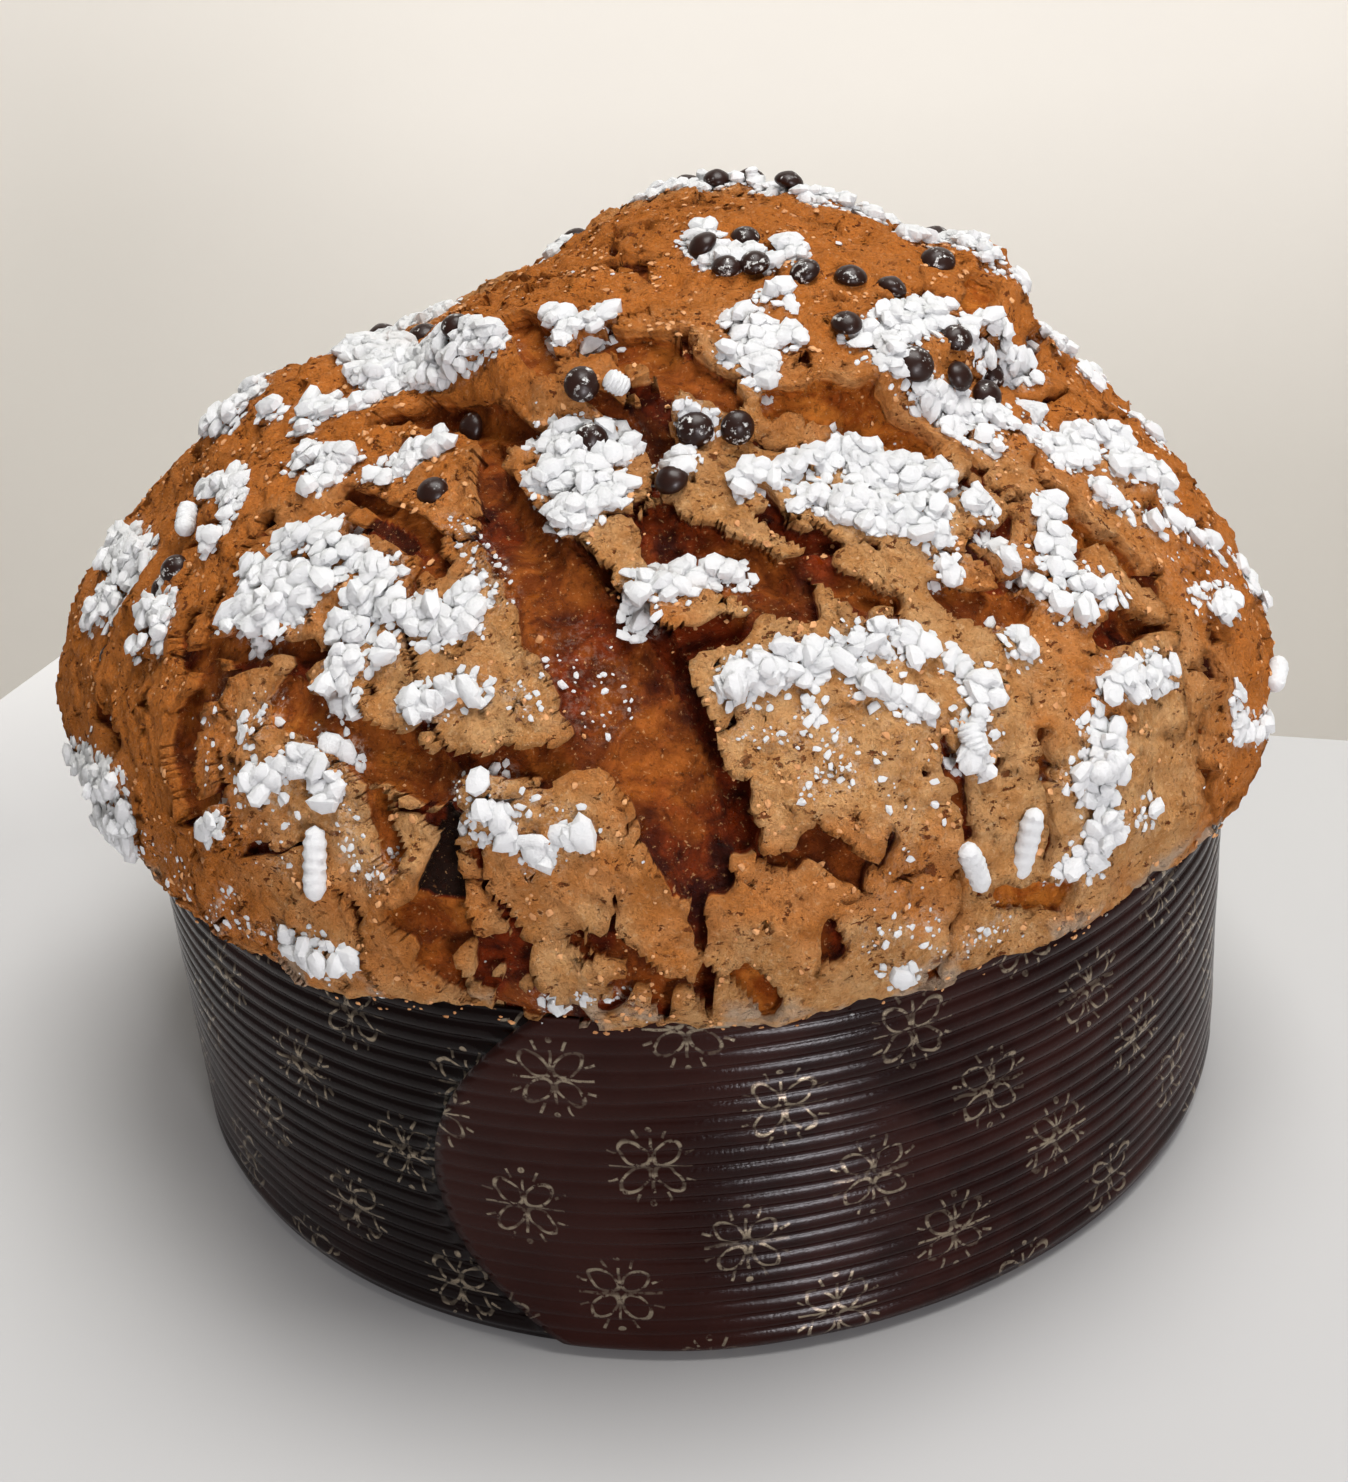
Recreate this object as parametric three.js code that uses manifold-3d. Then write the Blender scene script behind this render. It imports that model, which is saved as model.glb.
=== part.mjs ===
// Panettone in a corrugated paper case, with pearl sugar and chocolate chips baked onto a
// cracked almond glaze. Millimetres, +Z up, origin at the centre of the flat underside.
import * as THREE from 'three';
import Module from 'manifold-3d';
import { mergeVertices } from 'three/addons/utils/BufferGeometryUtils.js';

const wasm = await Module();
wasm.setup();

// Paper case
const caseRadius = 95;
const caseHeight = 66;
const caseBore = 94;
const baseThickness = 1;
const footRadius = 91.5;
const ribPitch = 3;
const ribDepth = 0.55;
const ribCount = 21;
const firstRib = 2.4;
const caseColumns = 36;
const flapLift = 1.2;
const flapReach = 60;

// Loaf
const gap = 0.3;
const loafWall = 93.4;
const centreHeight = 73;
const domeHalfWidth = 101;
const domeRise = 68;
const domeDrop = 30;
const lipAngle = 93.2;
const cellSize = 5.9;
const plateThickness = 2.4;

// Toppings
const sugarBed = 2.1;
const clumpShare = 140;
const clumpRadius = 3.2;
const stickRadius = 1.8;
const chipRadius = 2.4;
const chipHeight = 2;

// Directions on the loaf are given as azimuth and polar angle in degrees. Azimuth is 0 at the
// front and grows to the right, the polar angle is measured from straight up.
const rad = Math.PI / 180;
const unit = 100;

function direction(azimuth, polar) {
  const across = Math.sin(polar * rad);
  return new THREE.Vector3(
    across * Math.sin(azimuth * rad),
    -across * Math.cos(azimuth * rad),
    Math.cos(polar * rad),
  );
}

// Broad swellings and hollows of the baked dome: azimuth, polar, height, width in degrees
const swellings = [
  [100, 14, 5.5, 24],
  [-90, 48, 5, 16],
  [-100, 88, 10, 17],
  [95, 88, -5, 14],
  [100, 70, -4, 12],
  [-130, 30, -7, 22],
  [90, 42, 4, 9],
  [180, 40, 5, 25],
].map(([azimuth, polar, height, width]) => ({ at: direction(azimuth, polar), height, width }));

// The crown sits on the dome as a shallow cap with a torn edge
const crown = { at: direction(90, 7), radius: 36, edge: 3.5, height: 6.5 };

// Where the glaze has torn open and the crumb below shows: chains of azimuth, polar, half width
const tears = [
  [[-36, 36, 4], [-30, 41, 5], [-23, 48, 6], [-14, 55, 8], [-7, 63, 9],
    [-3, 69, 8.5], [0, 75, 7], [0, 92, 3]],
  [[-61, 40, 4], [-55, 36, 4.5], [-40, 35, 5], [-25, 37, 4.5]],
  [[-46, 22, 4], [-36, 24, 4.5], [-25, 29, 4]],
  [[-17, 25, 4.5], [-4, 26, 5], [7, 31, 6], [13, 35, 4]],
  [[20, 36, 4], [28, 38, 5], [36, 41, 5.5], [40, 46, 4]],
  [[0, 50, 4], [8, 54, 5], [13, 59, 4]],
  [[51, 55, 3.5], [52, 61, 4], [54, 68, 4]],
  [[43, 70, 3.5], [53, 73, 3.5]],
  [[-41, 69, 4], [-34, 70, 4.5], [-27, 72, 4.5]],
  [[-52, 71, 4.5], [-53, 77, 5], [-49, 81, 4]],
  [[-21, 77, 4], [-21, 84, 4.5], [-20, 92, 4]],
  [[26, 87, 3.5], [31, 88, 4]],
  [[70, 38, 4], [82, 38, 4]],
  [[-104, 60, 5], [-120, 70, 6], [-130, 84, 4]],
  [[112, 48, 4], [130, 58, 8], [150, 62, 7], [158, 76, 4]],
  [[-170, 34, 5], [-160, 50, 8], [-165, 68, 7], [-158, 86, 4]],
];

// Patches where pearl sugar lies close together, each a run of azimuth, polar and half width
const sugarPatches = [
  [[-112, 38, 4], [-98, 39, 4], [-88, 36, 5], [-76, 33, 5.5], [-62, 30, 5.5], [-50, 28, 4.5], [-42, 27, 3]],
  [[-78, 38, 2.6], [-72, 35, 3.5]], [[-70, 39, 2]], [[-94, 56, 3.5], [-88, 52, 4.5], [-94, 49, 3]],
  [[-80, 48, 2]], [[-72, 46, 2], [-76, 44, 1.8], [-71, 42, 1.8]],
  [[-64, 48, 3], [-58, 47, 3.6], [-57, 49, 2.6]],
  [[-78, 58, 1.8], [-71, 55, 2.6], [-67, 57, 2.2], [-66, 60, 1.8]], [[-50, 45, 2.4], [-47, 44, 2.2]],
  [[-47, 42, 3], [-44, 40, 2.2]],
  [[-53, 56, 3], [-48, 54, 3.5], [-42, 56, 3.6], [-46, 58, 3.6], [-53, 60, 3.6]],
  [[-51, 64, 3], [-47, 62, 3.6], [-44, 61, 3]], [[-48, 65, 2.5]],
  [[-36, 56, 3], [-36, 59, 4], [-30, 59, 3], [-26, 60, 2.5], [-23, 59, 2.2], [-24, 56, 2]],
  [[-36, 62, 4], [-35, 65, 3.5], [-35, 67, 3]],
  [[-90, 71, 3.5], [-81, 69, 4.5], [-81, 72, 5], [-84, 76, 3]],
  [[-71, 69, 3.5], [-65, 69, 3.5], [-65, 70, 3], [-69, 72, 2.5]],
  [[-26, 67, 2], [-23, 66, 2.4], [-20, 65, 2]],
  [[178, 26, 3], [165, 28, 4], [150, 28, 4], [135, 26, 3.6], [122, 27, 3.4], [113, 29, 2.5]],
  [[-143, 20, 3], [-155, 26, 3.5]],
  [[49, 8, 3], [38, 11, 3], [47, 14, 3.5], [55, 17, 3.5], [64, 18, 2.4]], [[35, 22, 2], [36, 24, 2]],
  [[23, 23, 2], [24, 26, 3.5], [21, 31, 3], [19, 34, 2]], [[30, 29, 2], [16, 29, 2]],
  [[-31, 21, 2], [-26, 24, 2.5], [-19, 22, 2.5], [-16, 20, 1.6]],
  [[-22, 37, 3.4], [-15, 38, 5.5], [-8, 37, 4]], [[-18, 43, 4], [-12, 43, 5], [-9, 44, 3.6]],
  [[-15, 47, 2.5], [-12, 47, 3]], [[5, 36, 2], [8, 37, 1.6]], [[2, 40, 2.5], [1, 42, 2.5]],
  [[12, 45, 2], [19, 44, 2.5], [25, 44, 2.6]], [[31, 42, 3], [30, 47, 4.5], [34, 49, 4.5], [38, 50, 3]],
  [[20, 48, 2.4], [25, 51, 4], [30, 53, 3.6], [34, 53, 3]], [[40, 53, 2.2], [40, 55, 2]],
  [[32, 55, 3], [32, 58, 2], [31, 60, 1]], [[45, 33, 3.5], [50, 34, 4.5], [59, 35, 4.5], [67, 35, 2.5]],
  [[44, 37, 3.5], [46, 40, 3], [46, 42, 2]], [[63, 40, 3.5], [71, 43, 4], [73, 47, 3]],
  [[49, 43, 3], [52, 45, 3.5], [57, 47, 3.5]], [[47, 46, 2], [51, 50, 2]], [[65, 50, 2.4]],
  [[97, 31, 2.5], [99, 36, 3], [91, 37, 2.5], [88, 39, 2]], [[89, 42, 2.4]], [[86, 48, 2], [97, 54, 2]],
  [[86, 55, 2.2]], [[86, 62, 2.2], [83, 64, 2]],
  [[-4, 58, 2.6], [-4, 55, 2.6], [0, 55, 3], [3, 54, 2.5], [6, 54, 2], [8, 55, 1.6]],
  [[5, 65, 2.6], [10, 64, 3], [13, 64, 2.6], [16, 64, 2], [19, 63, 2.4], [22, 64, 2.5], [24, 65, 2]],
  [[17, 67, 2], [19, 68, 1.8], [22, 70, 1.8]], [[27, 67, 1.6], [28, 69, 2.2], [28, 70, 2]],
  [[26, 72, 2], [26, 73, 2.2], [25, 75, 2]], [[34, 67, 1.8], [34, 68, 1.8]],
  [[38, 76, 2], [38, 78, 3], [37, 80, 3], [36, 82, 3], [36, 84, 2.5], [34, 86, 2], [32, 87, 1.6]],
  [[41, 73, 2.2], [44, 74, 2], [49, 75, 2.2]], [[58, 52, 2.2], [59, 55, 3], [66, 56, 3.5], [71, 58, 3]],
  [[66, 60, 3.5], [70, 63, 3], [69, 65, 2]], [[60, 60, 2.4]],
  [[48, 58, 2.5], [46, 60, 3], [45, 62, 3], [43, 63, 2.5]], [[44, 65, 2.2], [46, 66, 2.2], [47, 67, 2]],
  [[40, 63, 2.2], [41, 66, 2.5], [42, 67, 2]], [[39, 58, 1.8], [39, 60, 1.8]],
  [[61, 64, 1.8], [62, 65, 1.8]], [[66, 67, 1.4], [69, 70, 1.8], [70, 72, 1.8]],
  [[82, 80, 2.2], [80, 82, 2]], [[59, 73, 1.8], [64, 75, 2.2]], [[58, 85, 1.8], [63, 87, 1.8]],
  [[-82, 90, 2.6], [-72, 88, 3.2], [-65, 85, 2.4]], [[-74, 92, 3.2], [-69, 92, 3.6], [-62, 88, 3]],
  [[-41, 76, 1.8], [-39, 76, 2.6], [-38, 76, 2]], [[-36, 73, 2.6], [-33, 73, 2.3], [-33, 75, 2.2]],
  [[-46, 82, 1.8], [-44, 80, 1.8]], [[-18, 76, 1.8], [-17, 73, 2], [-16, 76, 2]],
  [[-36, 89, 2], [-33, 89, 2], [-30, 89, 1.4]], [[-140, 52, 7], [-128, 58, 6]],
  [[128, 38, 6.5], [140, 44, 5]], [[170, 48, 7], [178, 54, 6]], [[-174, 74, 5], [-166, 78, 4]],
  [[118, 74, 6], [128, 78, 5]], [[146, 84, 4], [152, 86, 3]], [[-118, 84, 4.5], [-112, 88, 3]],
  [[-116, 63, 4], [-108, 66, 3]], [[150, 60, 3], [156, 64, 3]], [[-150, 84, 3], [-146, 87, 2]],
  [[104, 62, 3], [108, 66, 2]], [[-178, 62, 3]], [[-132, 74, 3], [-136, 78, 3]],
];

// Long sugar grains lying alone: azimuth and polar of both ends
const sugarSticks = [
  [-33, 78, -32.5, 84], [22, 81, 24, 86], [29, 80, 27.5, 86.5], [-10, 31.5, -6, 32], [25, 72, 25, 75],
  [39, 79, 35, 79.5], [72, 88, 76, 87], [-76, 60, -72, 62], [140, 70, 146, 72], [-150, 66, -147, 70],
];

// Chocolate chips: azimuth, polar
const chips = [
  [-56, 27], [-45, 35], [-37, 46], [-70, 65], [-72, 68], [-78, 78], [39, 10], [70, 12], [36, 15],
  [44, 17], [51, 22], [-13, 37], [-15, 32], [6, 37], [13, 38], [1, 44], [43, 31], [58, 26], [62, 30],
  [46, 39], [57, 39], [53, 42], [59, 45], [67, 44], [84, 33], [114, 35], [102, 35], [169, 29],
  [160, 27], [152, 28], [136, 25], [115, 28], [-161, 30], [-134, 55], [134, 41], [174, 51], [123, 76],
  [-170, 76], [-112, 36],
];

// Repeatable value between 0 and 1 for one whole number
function chance(seed) {
  const wave = Math.sin(seed * 12.9898 + 4.1414) * 43758.5453;
  return wave - Math.floor(wave);
}

function smoothStep(low, high, value) {
  const t = Math.min(1, Math.max(0, (value - low) / (high - low)));
  return t * t * (3 - 2 * t);
}

function degreesBetween(a, b) {
  return Math.acos(Math.min(1, Math.max(-1, a.dot(b)))) / rad;
}

// Distance in millimetres from a direction to a stroke, less the stroke's half width there
function strokeDistance(dir, from, to, widthFrom, widthTo) {
  const along = to.clone().sub(from);
  const toPoint = dir.clone().sub(from);
  const t = Math.min(1, Math.max(0, toPoint.dot(along) / Math.max(along.lengthSq(), 1e-9)));
  const nearest = from.clone().addScaledVector(along, t);
  return dir.distanceTo(nearest) * unit - THREE.MathUtils.lerp(widthFrom, widthTo, t);
}

// A run of places becomes straight strokes from one to the next; a lone place is a round spot
function strokesOf(run) {
  const ends = run.length > 1 ? run.slice(1) : run;
  return ends.map((end, i) => ({
    from: direction(run[i][0], run[i][1]),
    to: direction(end[0], end[1]),
    widthFrom: run[i][2],
    widthTo: end[2],
  }));
}

const tearStrokes = tears.flatMap(strokesOf);
const patchStrokes = sugarPatches.flatMap(strokesOf);

function nearestStroke(dir, strokes) {
  return Math.min(...strokes.map((s) => strokeDistance(dir, s.from, s.to, s.widthFrom, s.widthTo)));
}

// Slow unevenness of the crust
function unevenness(dir) {
  const a = Math.sin(dir.x * 9.1 + dir.y * 4.3 + 1.7) * Math.sin(dir.y * 8.3 - dir.z * 5.9);
  const b = Math.sin(dir.x * 17.3 - dir.z * 13.1 + 0.6) * Math.sin(dir.y * 15.7 + dir.x * 6.1 + 2.2);
  return 1.1 * a + 0.8 * b;
}

function breadRadius(dir) {
  const level = Math.hypot(dir.x, dir.y);
  const vertical = dir.z > 0 ? domeRise : domeDrop;
  let radius = 1 / Math.hypot(level / domeHalfWidth, dir.z / vertical);
  for (const swelling of swellings) {
    radius += swelling.height * Math.exp(-((degreesBetween(dir, swelling.at) / swelling.width) ** 2));
  }
  const fromCrown = degreesBetween(dir, crown.at);
  radius += crown.height * (1 - smoothStep(crown.radius - crown.edge, crown.radius + crown.edge, fromCrown));
  radius += unevenness(dir);
  const torn = 1 - smoothStep(-1.5, 2.5, nearestStroke(dir, tearStrokes));
  return radius - plateThickness * torn;
}

function breadPoint(dir) {
  const point = dir.clone().multiplyScalar(breadRadius(dir));
  point.z += centreHeight;
  return point;
}

// Bread with the lumpy bed of small sugar grains that fills each patch
function crustPoint(dir) {
  const sugared = 1 - smoothStep(-1.5, 1.5, nearestStroke(dir, patchStrokes));
  const lumpy = 0.6 + 0.8 * chance(dir.x * 91 + dir.y * 57);
  return breadPoint(dir).addScaledVector(dir, sugarBed * lumpy * sugared);
}

// Outward normal of the bread, from three points close together
function breadNormal(dir) {
  const side = new THREE.Vector3(-dir.y, dir.x, 0).normalize();
  const down = side.clone().cross(dir).negate();
  const step = 0.04;
  const here = breadPoint(dir);
  const alongSide = breadPoint(dir.clone().addScaledVector(side, step).normalize()).sub(here);
  const alongDown = breadPoint(dir.clone().addScaledVector(down, step).normalize()).sub(here);
  const normal = alongSide.cross(alongDown).normalize();
  return normal.dot(dir) < 0 ? normal.negate() : normal;
}

// Closed skin through a stack of rings from the top centre to the bottom centre. Rings may have
// different numbers of points, so neighbours are joined by stepping round both by angle.
function skinRings(top, rings, bottom) {
  const positions = [...top.toArray()];
  const starts = [];
  for (const ring of rings) {
    starts.push(positions.length / 3);
    ring.forEach((point) => positions.push(...point.toArray()));
  }
  const last = positions.length / 3;
  positions.push(...bottom.toArray());
  const faces = [];
  for (let i = 0; i < rings[0].length; i += 1) {
    faces.push(0, starts[0] + i, starts[0] + ((i + 1) % rings[0].length));
  }
  for (let r = 1; r < rings.length; r += 1) {
    const upper = rings[r - 1].length;
    const lower = rings[r].length;
    let u = 0;
    let l = 0;
    while (u < upper || l < lower) {
      const upperHere = starts[r - 1] + (u % upper);
      const lowerHere = starts[r] + (l % lower);
      if (l >= lower || (u < upper && (u + 1) * lower <= (l + 1) * upper)) {
        faces.push(upperHere, lowerHere, starts[r - 1] + ((u + 1) % upper));
        u += 1;
      } else {
        faces.push(upperHere, lowerHere, starts[r] + ((l + 1) % lower));
        l += 1;
      }
    }
  }
  const lowest = rings.length - 1;
  const count = rings[lowest].length;
  for (let i = 0; i < count; i += 1) {
    faces.push(last, starts[lowest] + ((i + 1) % count), starts[lowest] + i);
  }
  const geometry = new THREE.BufferGeometry();
  geometry.setAttribute('position', new THREE.Float32BufferAttribute(positions, 3));
  geometry.setIndex(faces);
  return geometry;
}

function levelRing(radius, z, count) {
  return Array.from({ length: count }, (_, i) => {
    const angle = (i / count) * 2 * Math.PI;
    return new THREE.Vector3(radius * Math.sin(angle), -radius * Math.cos(angle), z);
  });
}

// Bread: the dome down to its overhanging lip, in over the rim and down inside the case
function breadGeometry() {
  const ringCount = Math.round((lipAngle * rad * unit) / cellSize);
  const rings = [];
  for (let r = 1; r <= ringCount; r += 1) {
    const polar = (lipAngle * r) / ringCount;
    const count = Math.max(6, Math.round((2 * Math.PI * Math.sin(polar * rad) * unit) / cellSize));
    rings.push(Array.from({ length: count }, (_, i) => {
      const point = crustPoint(direction((360 * i) / count, polar));
      point.z = Math.max(point.z, caseHeight + gap + 0.6);
      return point;
    }));
  }
  const underLip = caseHeight + gap + 0.2;
  rings.push(levelRing(caseRadius + 1, underLip, 90));
  rings.push(levelRing(loafWall, underLip, 72));
  rings.push(levelRing(loafWall, baseThickness + gap + 3, 72));
  rings.push(levelRing(footRadius - 1, baseThickness + gap, 72));
  const top = crustPoint(new THREE.Vector3(0, 0, 1));
  return skinRings(top, rings, new THREE.Vector3(0, 0, baseThickness + gap));
}

// Lumpy grain of sugar: a twenty-sided ball with uneven corners
function grainGeometry(length, width, height, seed) {
  const ball = new THREE.IcosahedronGeometry(1, 0);
  ball.deleteAttribute('normal');
  ball.deleteAttribute('uv');
  const geometry = mergeVertices(ball, 1e-4);
  const position = geometry.attributes.position;
  for (let i = 0; i < position.count; i += 1) {
    const swell = 0.88 + 0.24 * chance(seed * 17 + i);
    position.setXYZ(
      i,
      position.getX(i) * swell * length,
      position.getY(i) * swell * width,
      position.getZ(i) * swell * height,
    );
  }
  return geometry;
}

// Chocolate chip: a low six-sided drop
function chipGeometry() {
  const at = (radius, z) => levelRing(radius, z, 6);
  const rings = [at(chipRadius * 0.62, chipHeight), at(chipRadius, chipHeight * 0.45), at(chipRadius, -2)];
  return skinRings(new THREE.Vector3(0, 0, chipHeight * 1.15), rings, new THREE.Vector3(0, 0, -2.2));
}

// Moves a topping onto the crust, turned about the crust normal and raised by the given height
function layOnCrust(geometry, dir, turn, rise) {
  const normal = breadNormal(dir);
  const upright = new THREE.Quaternion().setFromUnitVectors(new THREE.Vector3(0, 0, 1), normal);
  const spin = new THREE.Quaternion().setFromAxisAngle(new THREE.Vector3(0, 0, 1), turn);
  const place = breadPoint(dir).addScaledVector(normal, rise);
  geometry.applyQuaternion(upright.multiply(spin));
  geometry.translate(place.x, place.y, place.z);
  return geometry;
}

// Place a given share of the way along a run of strokes, with the way on and the half width there
function alongRun(strokes, share) {
  const lengths = strokes.map((s) => s.from.distanceTo(s.to));
  let left = share * lengths.reduce((sum, length) => sum + length, 0);
  let i = 0;
  while (i < strokes.length - 1 && left > lengths[i]) {
    left -= lengths[i];
    i += 1;
  }
  const stroke = strokes[i];
  const t = left / Math.max(lengths[i], 1e-9);
  return {
    dir: stroke.from.clone().lerp(stroke.to, t),
    side: stroke.from.clone().cross(stroke.to).normalize(),
    width: THREE.MathUtils.lerp(stroke.widthFrom, stroke.widthTo, t),
  };
}

// The larger clumps of sugar stand in a row along each patch, in wide patches to its left and right.
// Each stands for the same share of area, so the smallest spots have only their lumpy bed.
function sugarClumps() {
  return sugarPatches.flatMap((run, p) => {
    const strokes = strokesOf(run);
    const length = strokes.reduce((sum, s) => sum + s.from.distanceTo(s.to) * unit, 0);
    const middle = alongRun(strokes, 0.5).width;
    const count = Math.round(((length + middle) * 2 * middle) / clumpShare);
    return Array.from({ length: count }, (_, k) => {
      const seed = p * 31 + k;
      const { dir, side, width } = alongRun(strokes, (k + 0.5) / count);
      const offset = ((k % 2 ? 1 : -1) * Math.max(0, width - clumpRadius)) / unit;
      dir.addScaledVector(side, offset).normalize();
      const size = Math.min(clumpRadius, width + 0.6) * (0.9 + 0.2 * chance(seed));
      const clump = grainGeometry(size * 1.3, size, size * 0.8, seed);
      return layOnCrust(clump, dir, 6.28 * chance(seed + 0.5), 1.2);
    });
  });
}

function sticks() {
  return sugarSticks.map(([azimuthA, polarA, azimuthB, polarB], i) => {
    const from = direction(azimuthA, polarA);
    const to = direction(azimuthB, polarB);
    const dir = from.clone().add(to).normalize();
    const half = (from.distanceTo(to) * unit) / 2 + stickRadius;
    const geometry = grainGeometry(half, stickRadius, stickRadius, 300 + i);
    const normal = breadNormal(dir);
    const along = to.clone().sub(from).projectOnPlane(normal).normalize();
    const frame = new THREE.Matrix4().makeBasis(along, normal.clone().cross(along), normal);
    const place = breadPoint(dir).addScaledVector(normal, 0.4);
    return geometry.applyMatrix4(frame.setPosition(place));
  });
}

function solidOf(geometry) {
  const mesh = new wasm.Mesh({
    numProp: 3,
    vertProperties: new Float32Array(geometry.attributes.position.array),
    triVerts: new Uint32Array(geometry.index.array),
  });
  return new wasm.Manifold(mesh);
}

// Geometry of the largest closed shell; pockets sealed by fusing and loose scraps are left out
function largestShell(solid) {
  const mesh = solid.getMesh();
  const stride = mesh.numProp;
  const positions = [];
  for (let i = 0; i < mesh.vertProperties.length / stride; i += 1) {
    positions.push(...mesh.vertProperties.slice(i * stride, i * stride + 3));
  }
  const whole = new THREE.BufferGeometry();
  whole.setAttribute('position', new THREE.Float32BufferAttribute(positions, 3));
  whole.setIndex([...mesh.triVerts]);
  const merged = mergeVertices(whole, 1e-4);
  const index = merged.index.array;
  const parent = Array.from({ length: merged.attributes.position.count }, (_, i) => i);
  const rootOf = (i) => {
    let root = i;
    while (parent[root] !== root) {
      parent[root] = parent[parent[root]];
      root = parent[root];
    }
    return root;
  };
  for (let t = 0; t < index.length; t += 3) {
    parent[rootOf(index[t + 1])] = rootOf(index[t]);
    parent[rootOf(index[t + 2])] = rootOf(index[t]);
  }
  const sizes = new Map();
  index.forEach((i) => sizes.set(rootOf(i), (sizes.get(rootOf(i)) ?? 0) + 1));
  const largest = [...sizes.entries()].sort((a, b) => b[1] - a[1])[0][0];
  const kept = [];
  for (let t = 0; t < index.length; t += 3) {
    const corners = [index[t], index[t + 1], index[t + 2]];
    if (rootOf(corners[0]) === largest && new Set(corners).size === 3) kept.push(...corners);
  }
  merged.setIndex(kept);
  return merged;
}

function loafGeometry() {
  const toppings = [
    ...sugarClumps(),
    ...sticks(),
    ...chips.map(([azimuth, polar], i) => layOnCrust(chipGeometry(), direction(azimuth, polar), i, 0.6)),
  ];
  const fused = toppings.reduce((solid, topping) => solid.add(solidOf(topping)), solidOf(breadGeometry()));
  return largestShell(fused);
}

// Azimuth of the overlap's edge: the outer layer of paper ends in a rounded tongue
function overlapAzimuth(z) {
  const t = (z / caseHeight) * 2 - 1;
  return -27 + 12.5 * t * t;
}

// Paper case: corrugated wall with the overlap's step, plain bore and flat base
function caseGeometry() {
  const offsets = [0.4];
  for (let i = 1; i < caseColumns - 1; i += 1) offsets.push((i * 360) / (caseColumns - 1));
  offsets.push(359.6);
  const ring = (radius, z, lifted) => offsets.map((offset) => {
    const angle = (overlapAzimuth(z) + offset) * rad;
    const lift = lifted ? flapLift * (1 - smoothStep(0, flapReach, offset)) : 0;
    return new THREE.Vector3((radius + lift) * Math.sin(angle), -(radius + lift) * Math.cos(angle), z);
  });
  const outer = [ring(footRadius, 0, false), ring(94, 1.1, true)];
  for (let i = 0; i < ribCount; i += 1) {
    outer.push(ring(caseRadius, firstRib + ribPitch * i, true));
    outer.push(ring(caseRadius - ribDepth, firstRib + ribPitch * (i + 0.5), true));
  }
  outer.push(ring(caseRadius, caseHeight, true));
  const inner = [ring(caseBore, baseThickness + 2.6, false), ring(footRadius, baseThickness, false)];
  const rings = [...inner.reverse(), ring(caseBore, caseHeight, false), ...outer.reverse()];
  return skinRings(new THREE.Vector3(0, 0, baseThickness), rings, new THREE.Vector3(0, 0, 0));
}

function part(name, geometry, colour, roughness) {
  const flat = geometry.toNonIndexed();
  flat.computeVertexNormals();
  const material = new THREE.MeshStandardMaterial({ color: colour, roughness, metalness: 0 });
  const mesh = new THREE.Mesh(flat, material);
  mesh.name = name;
  return mesh;
}

const panettone = new THREE.Group();
panettone.name = 'panettone';
panettone.add(part('loaf', loafGeometry(), 0xb97a43, 0.75));
panettone.add(part('paper_case', caseGeometry(), 0x2f1d20, 0.45));

export default panettone;
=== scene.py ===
import math
import bpy
import bmesh
import numpy as np
from mathutils import Matrix, Vector


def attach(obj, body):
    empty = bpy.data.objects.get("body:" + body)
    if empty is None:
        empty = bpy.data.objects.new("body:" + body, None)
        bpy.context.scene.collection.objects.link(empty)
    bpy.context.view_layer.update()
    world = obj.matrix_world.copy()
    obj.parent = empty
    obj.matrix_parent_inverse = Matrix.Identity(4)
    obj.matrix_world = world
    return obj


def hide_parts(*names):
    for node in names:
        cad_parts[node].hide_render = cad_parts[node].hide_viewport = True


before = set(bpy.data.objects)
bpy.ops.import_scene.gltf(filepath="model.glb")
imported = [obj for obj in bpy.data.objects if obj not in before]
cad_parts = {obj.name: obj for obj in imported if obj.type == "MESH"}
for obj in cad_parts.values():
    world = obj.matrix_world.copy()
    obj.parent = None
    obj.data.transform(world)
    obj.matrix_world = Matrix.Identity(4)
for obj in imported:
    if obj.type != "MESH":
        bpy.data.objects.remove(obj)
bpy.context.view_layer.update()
mm = 0.001
# Distances along the loaf are measured in mm on a ball of this radius
ballRadius = 100
mmPerDegree = 1.745

# Places on the loaf are azimuth (0 at the front, growing to the right) and polar angle from straight up
loaf = {
    "centre": 73.0,
    "halfWidth": 101.0,
    "rise": 68.0,
    "drop": 30.0,
    "lip": 93.2,
    "wall": 93.4,
    "floor": 1.3,
    "rim": 66.3,
    "underSpan": 6.0,
    "cuts": (83, 1),
    "frontPull": 0.34,
}

# azimuth, polar, height in mm, width in degrees
swellings = [
    (100, 14, 5.5, 24),
    (-90, 48, 5, 16),
    (-100, 88, 10, 17),
    (95, 88, -5, 14),
    (100, 70, -4, 12),
    (-130, 30, -7, 22),
    (90, 42, 4, 9),
    (180, 40, 5, 25),
]
crown = {"at": (90, 7), "radius": 36, "edge": 3.5, "height": 6.5}

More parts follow.
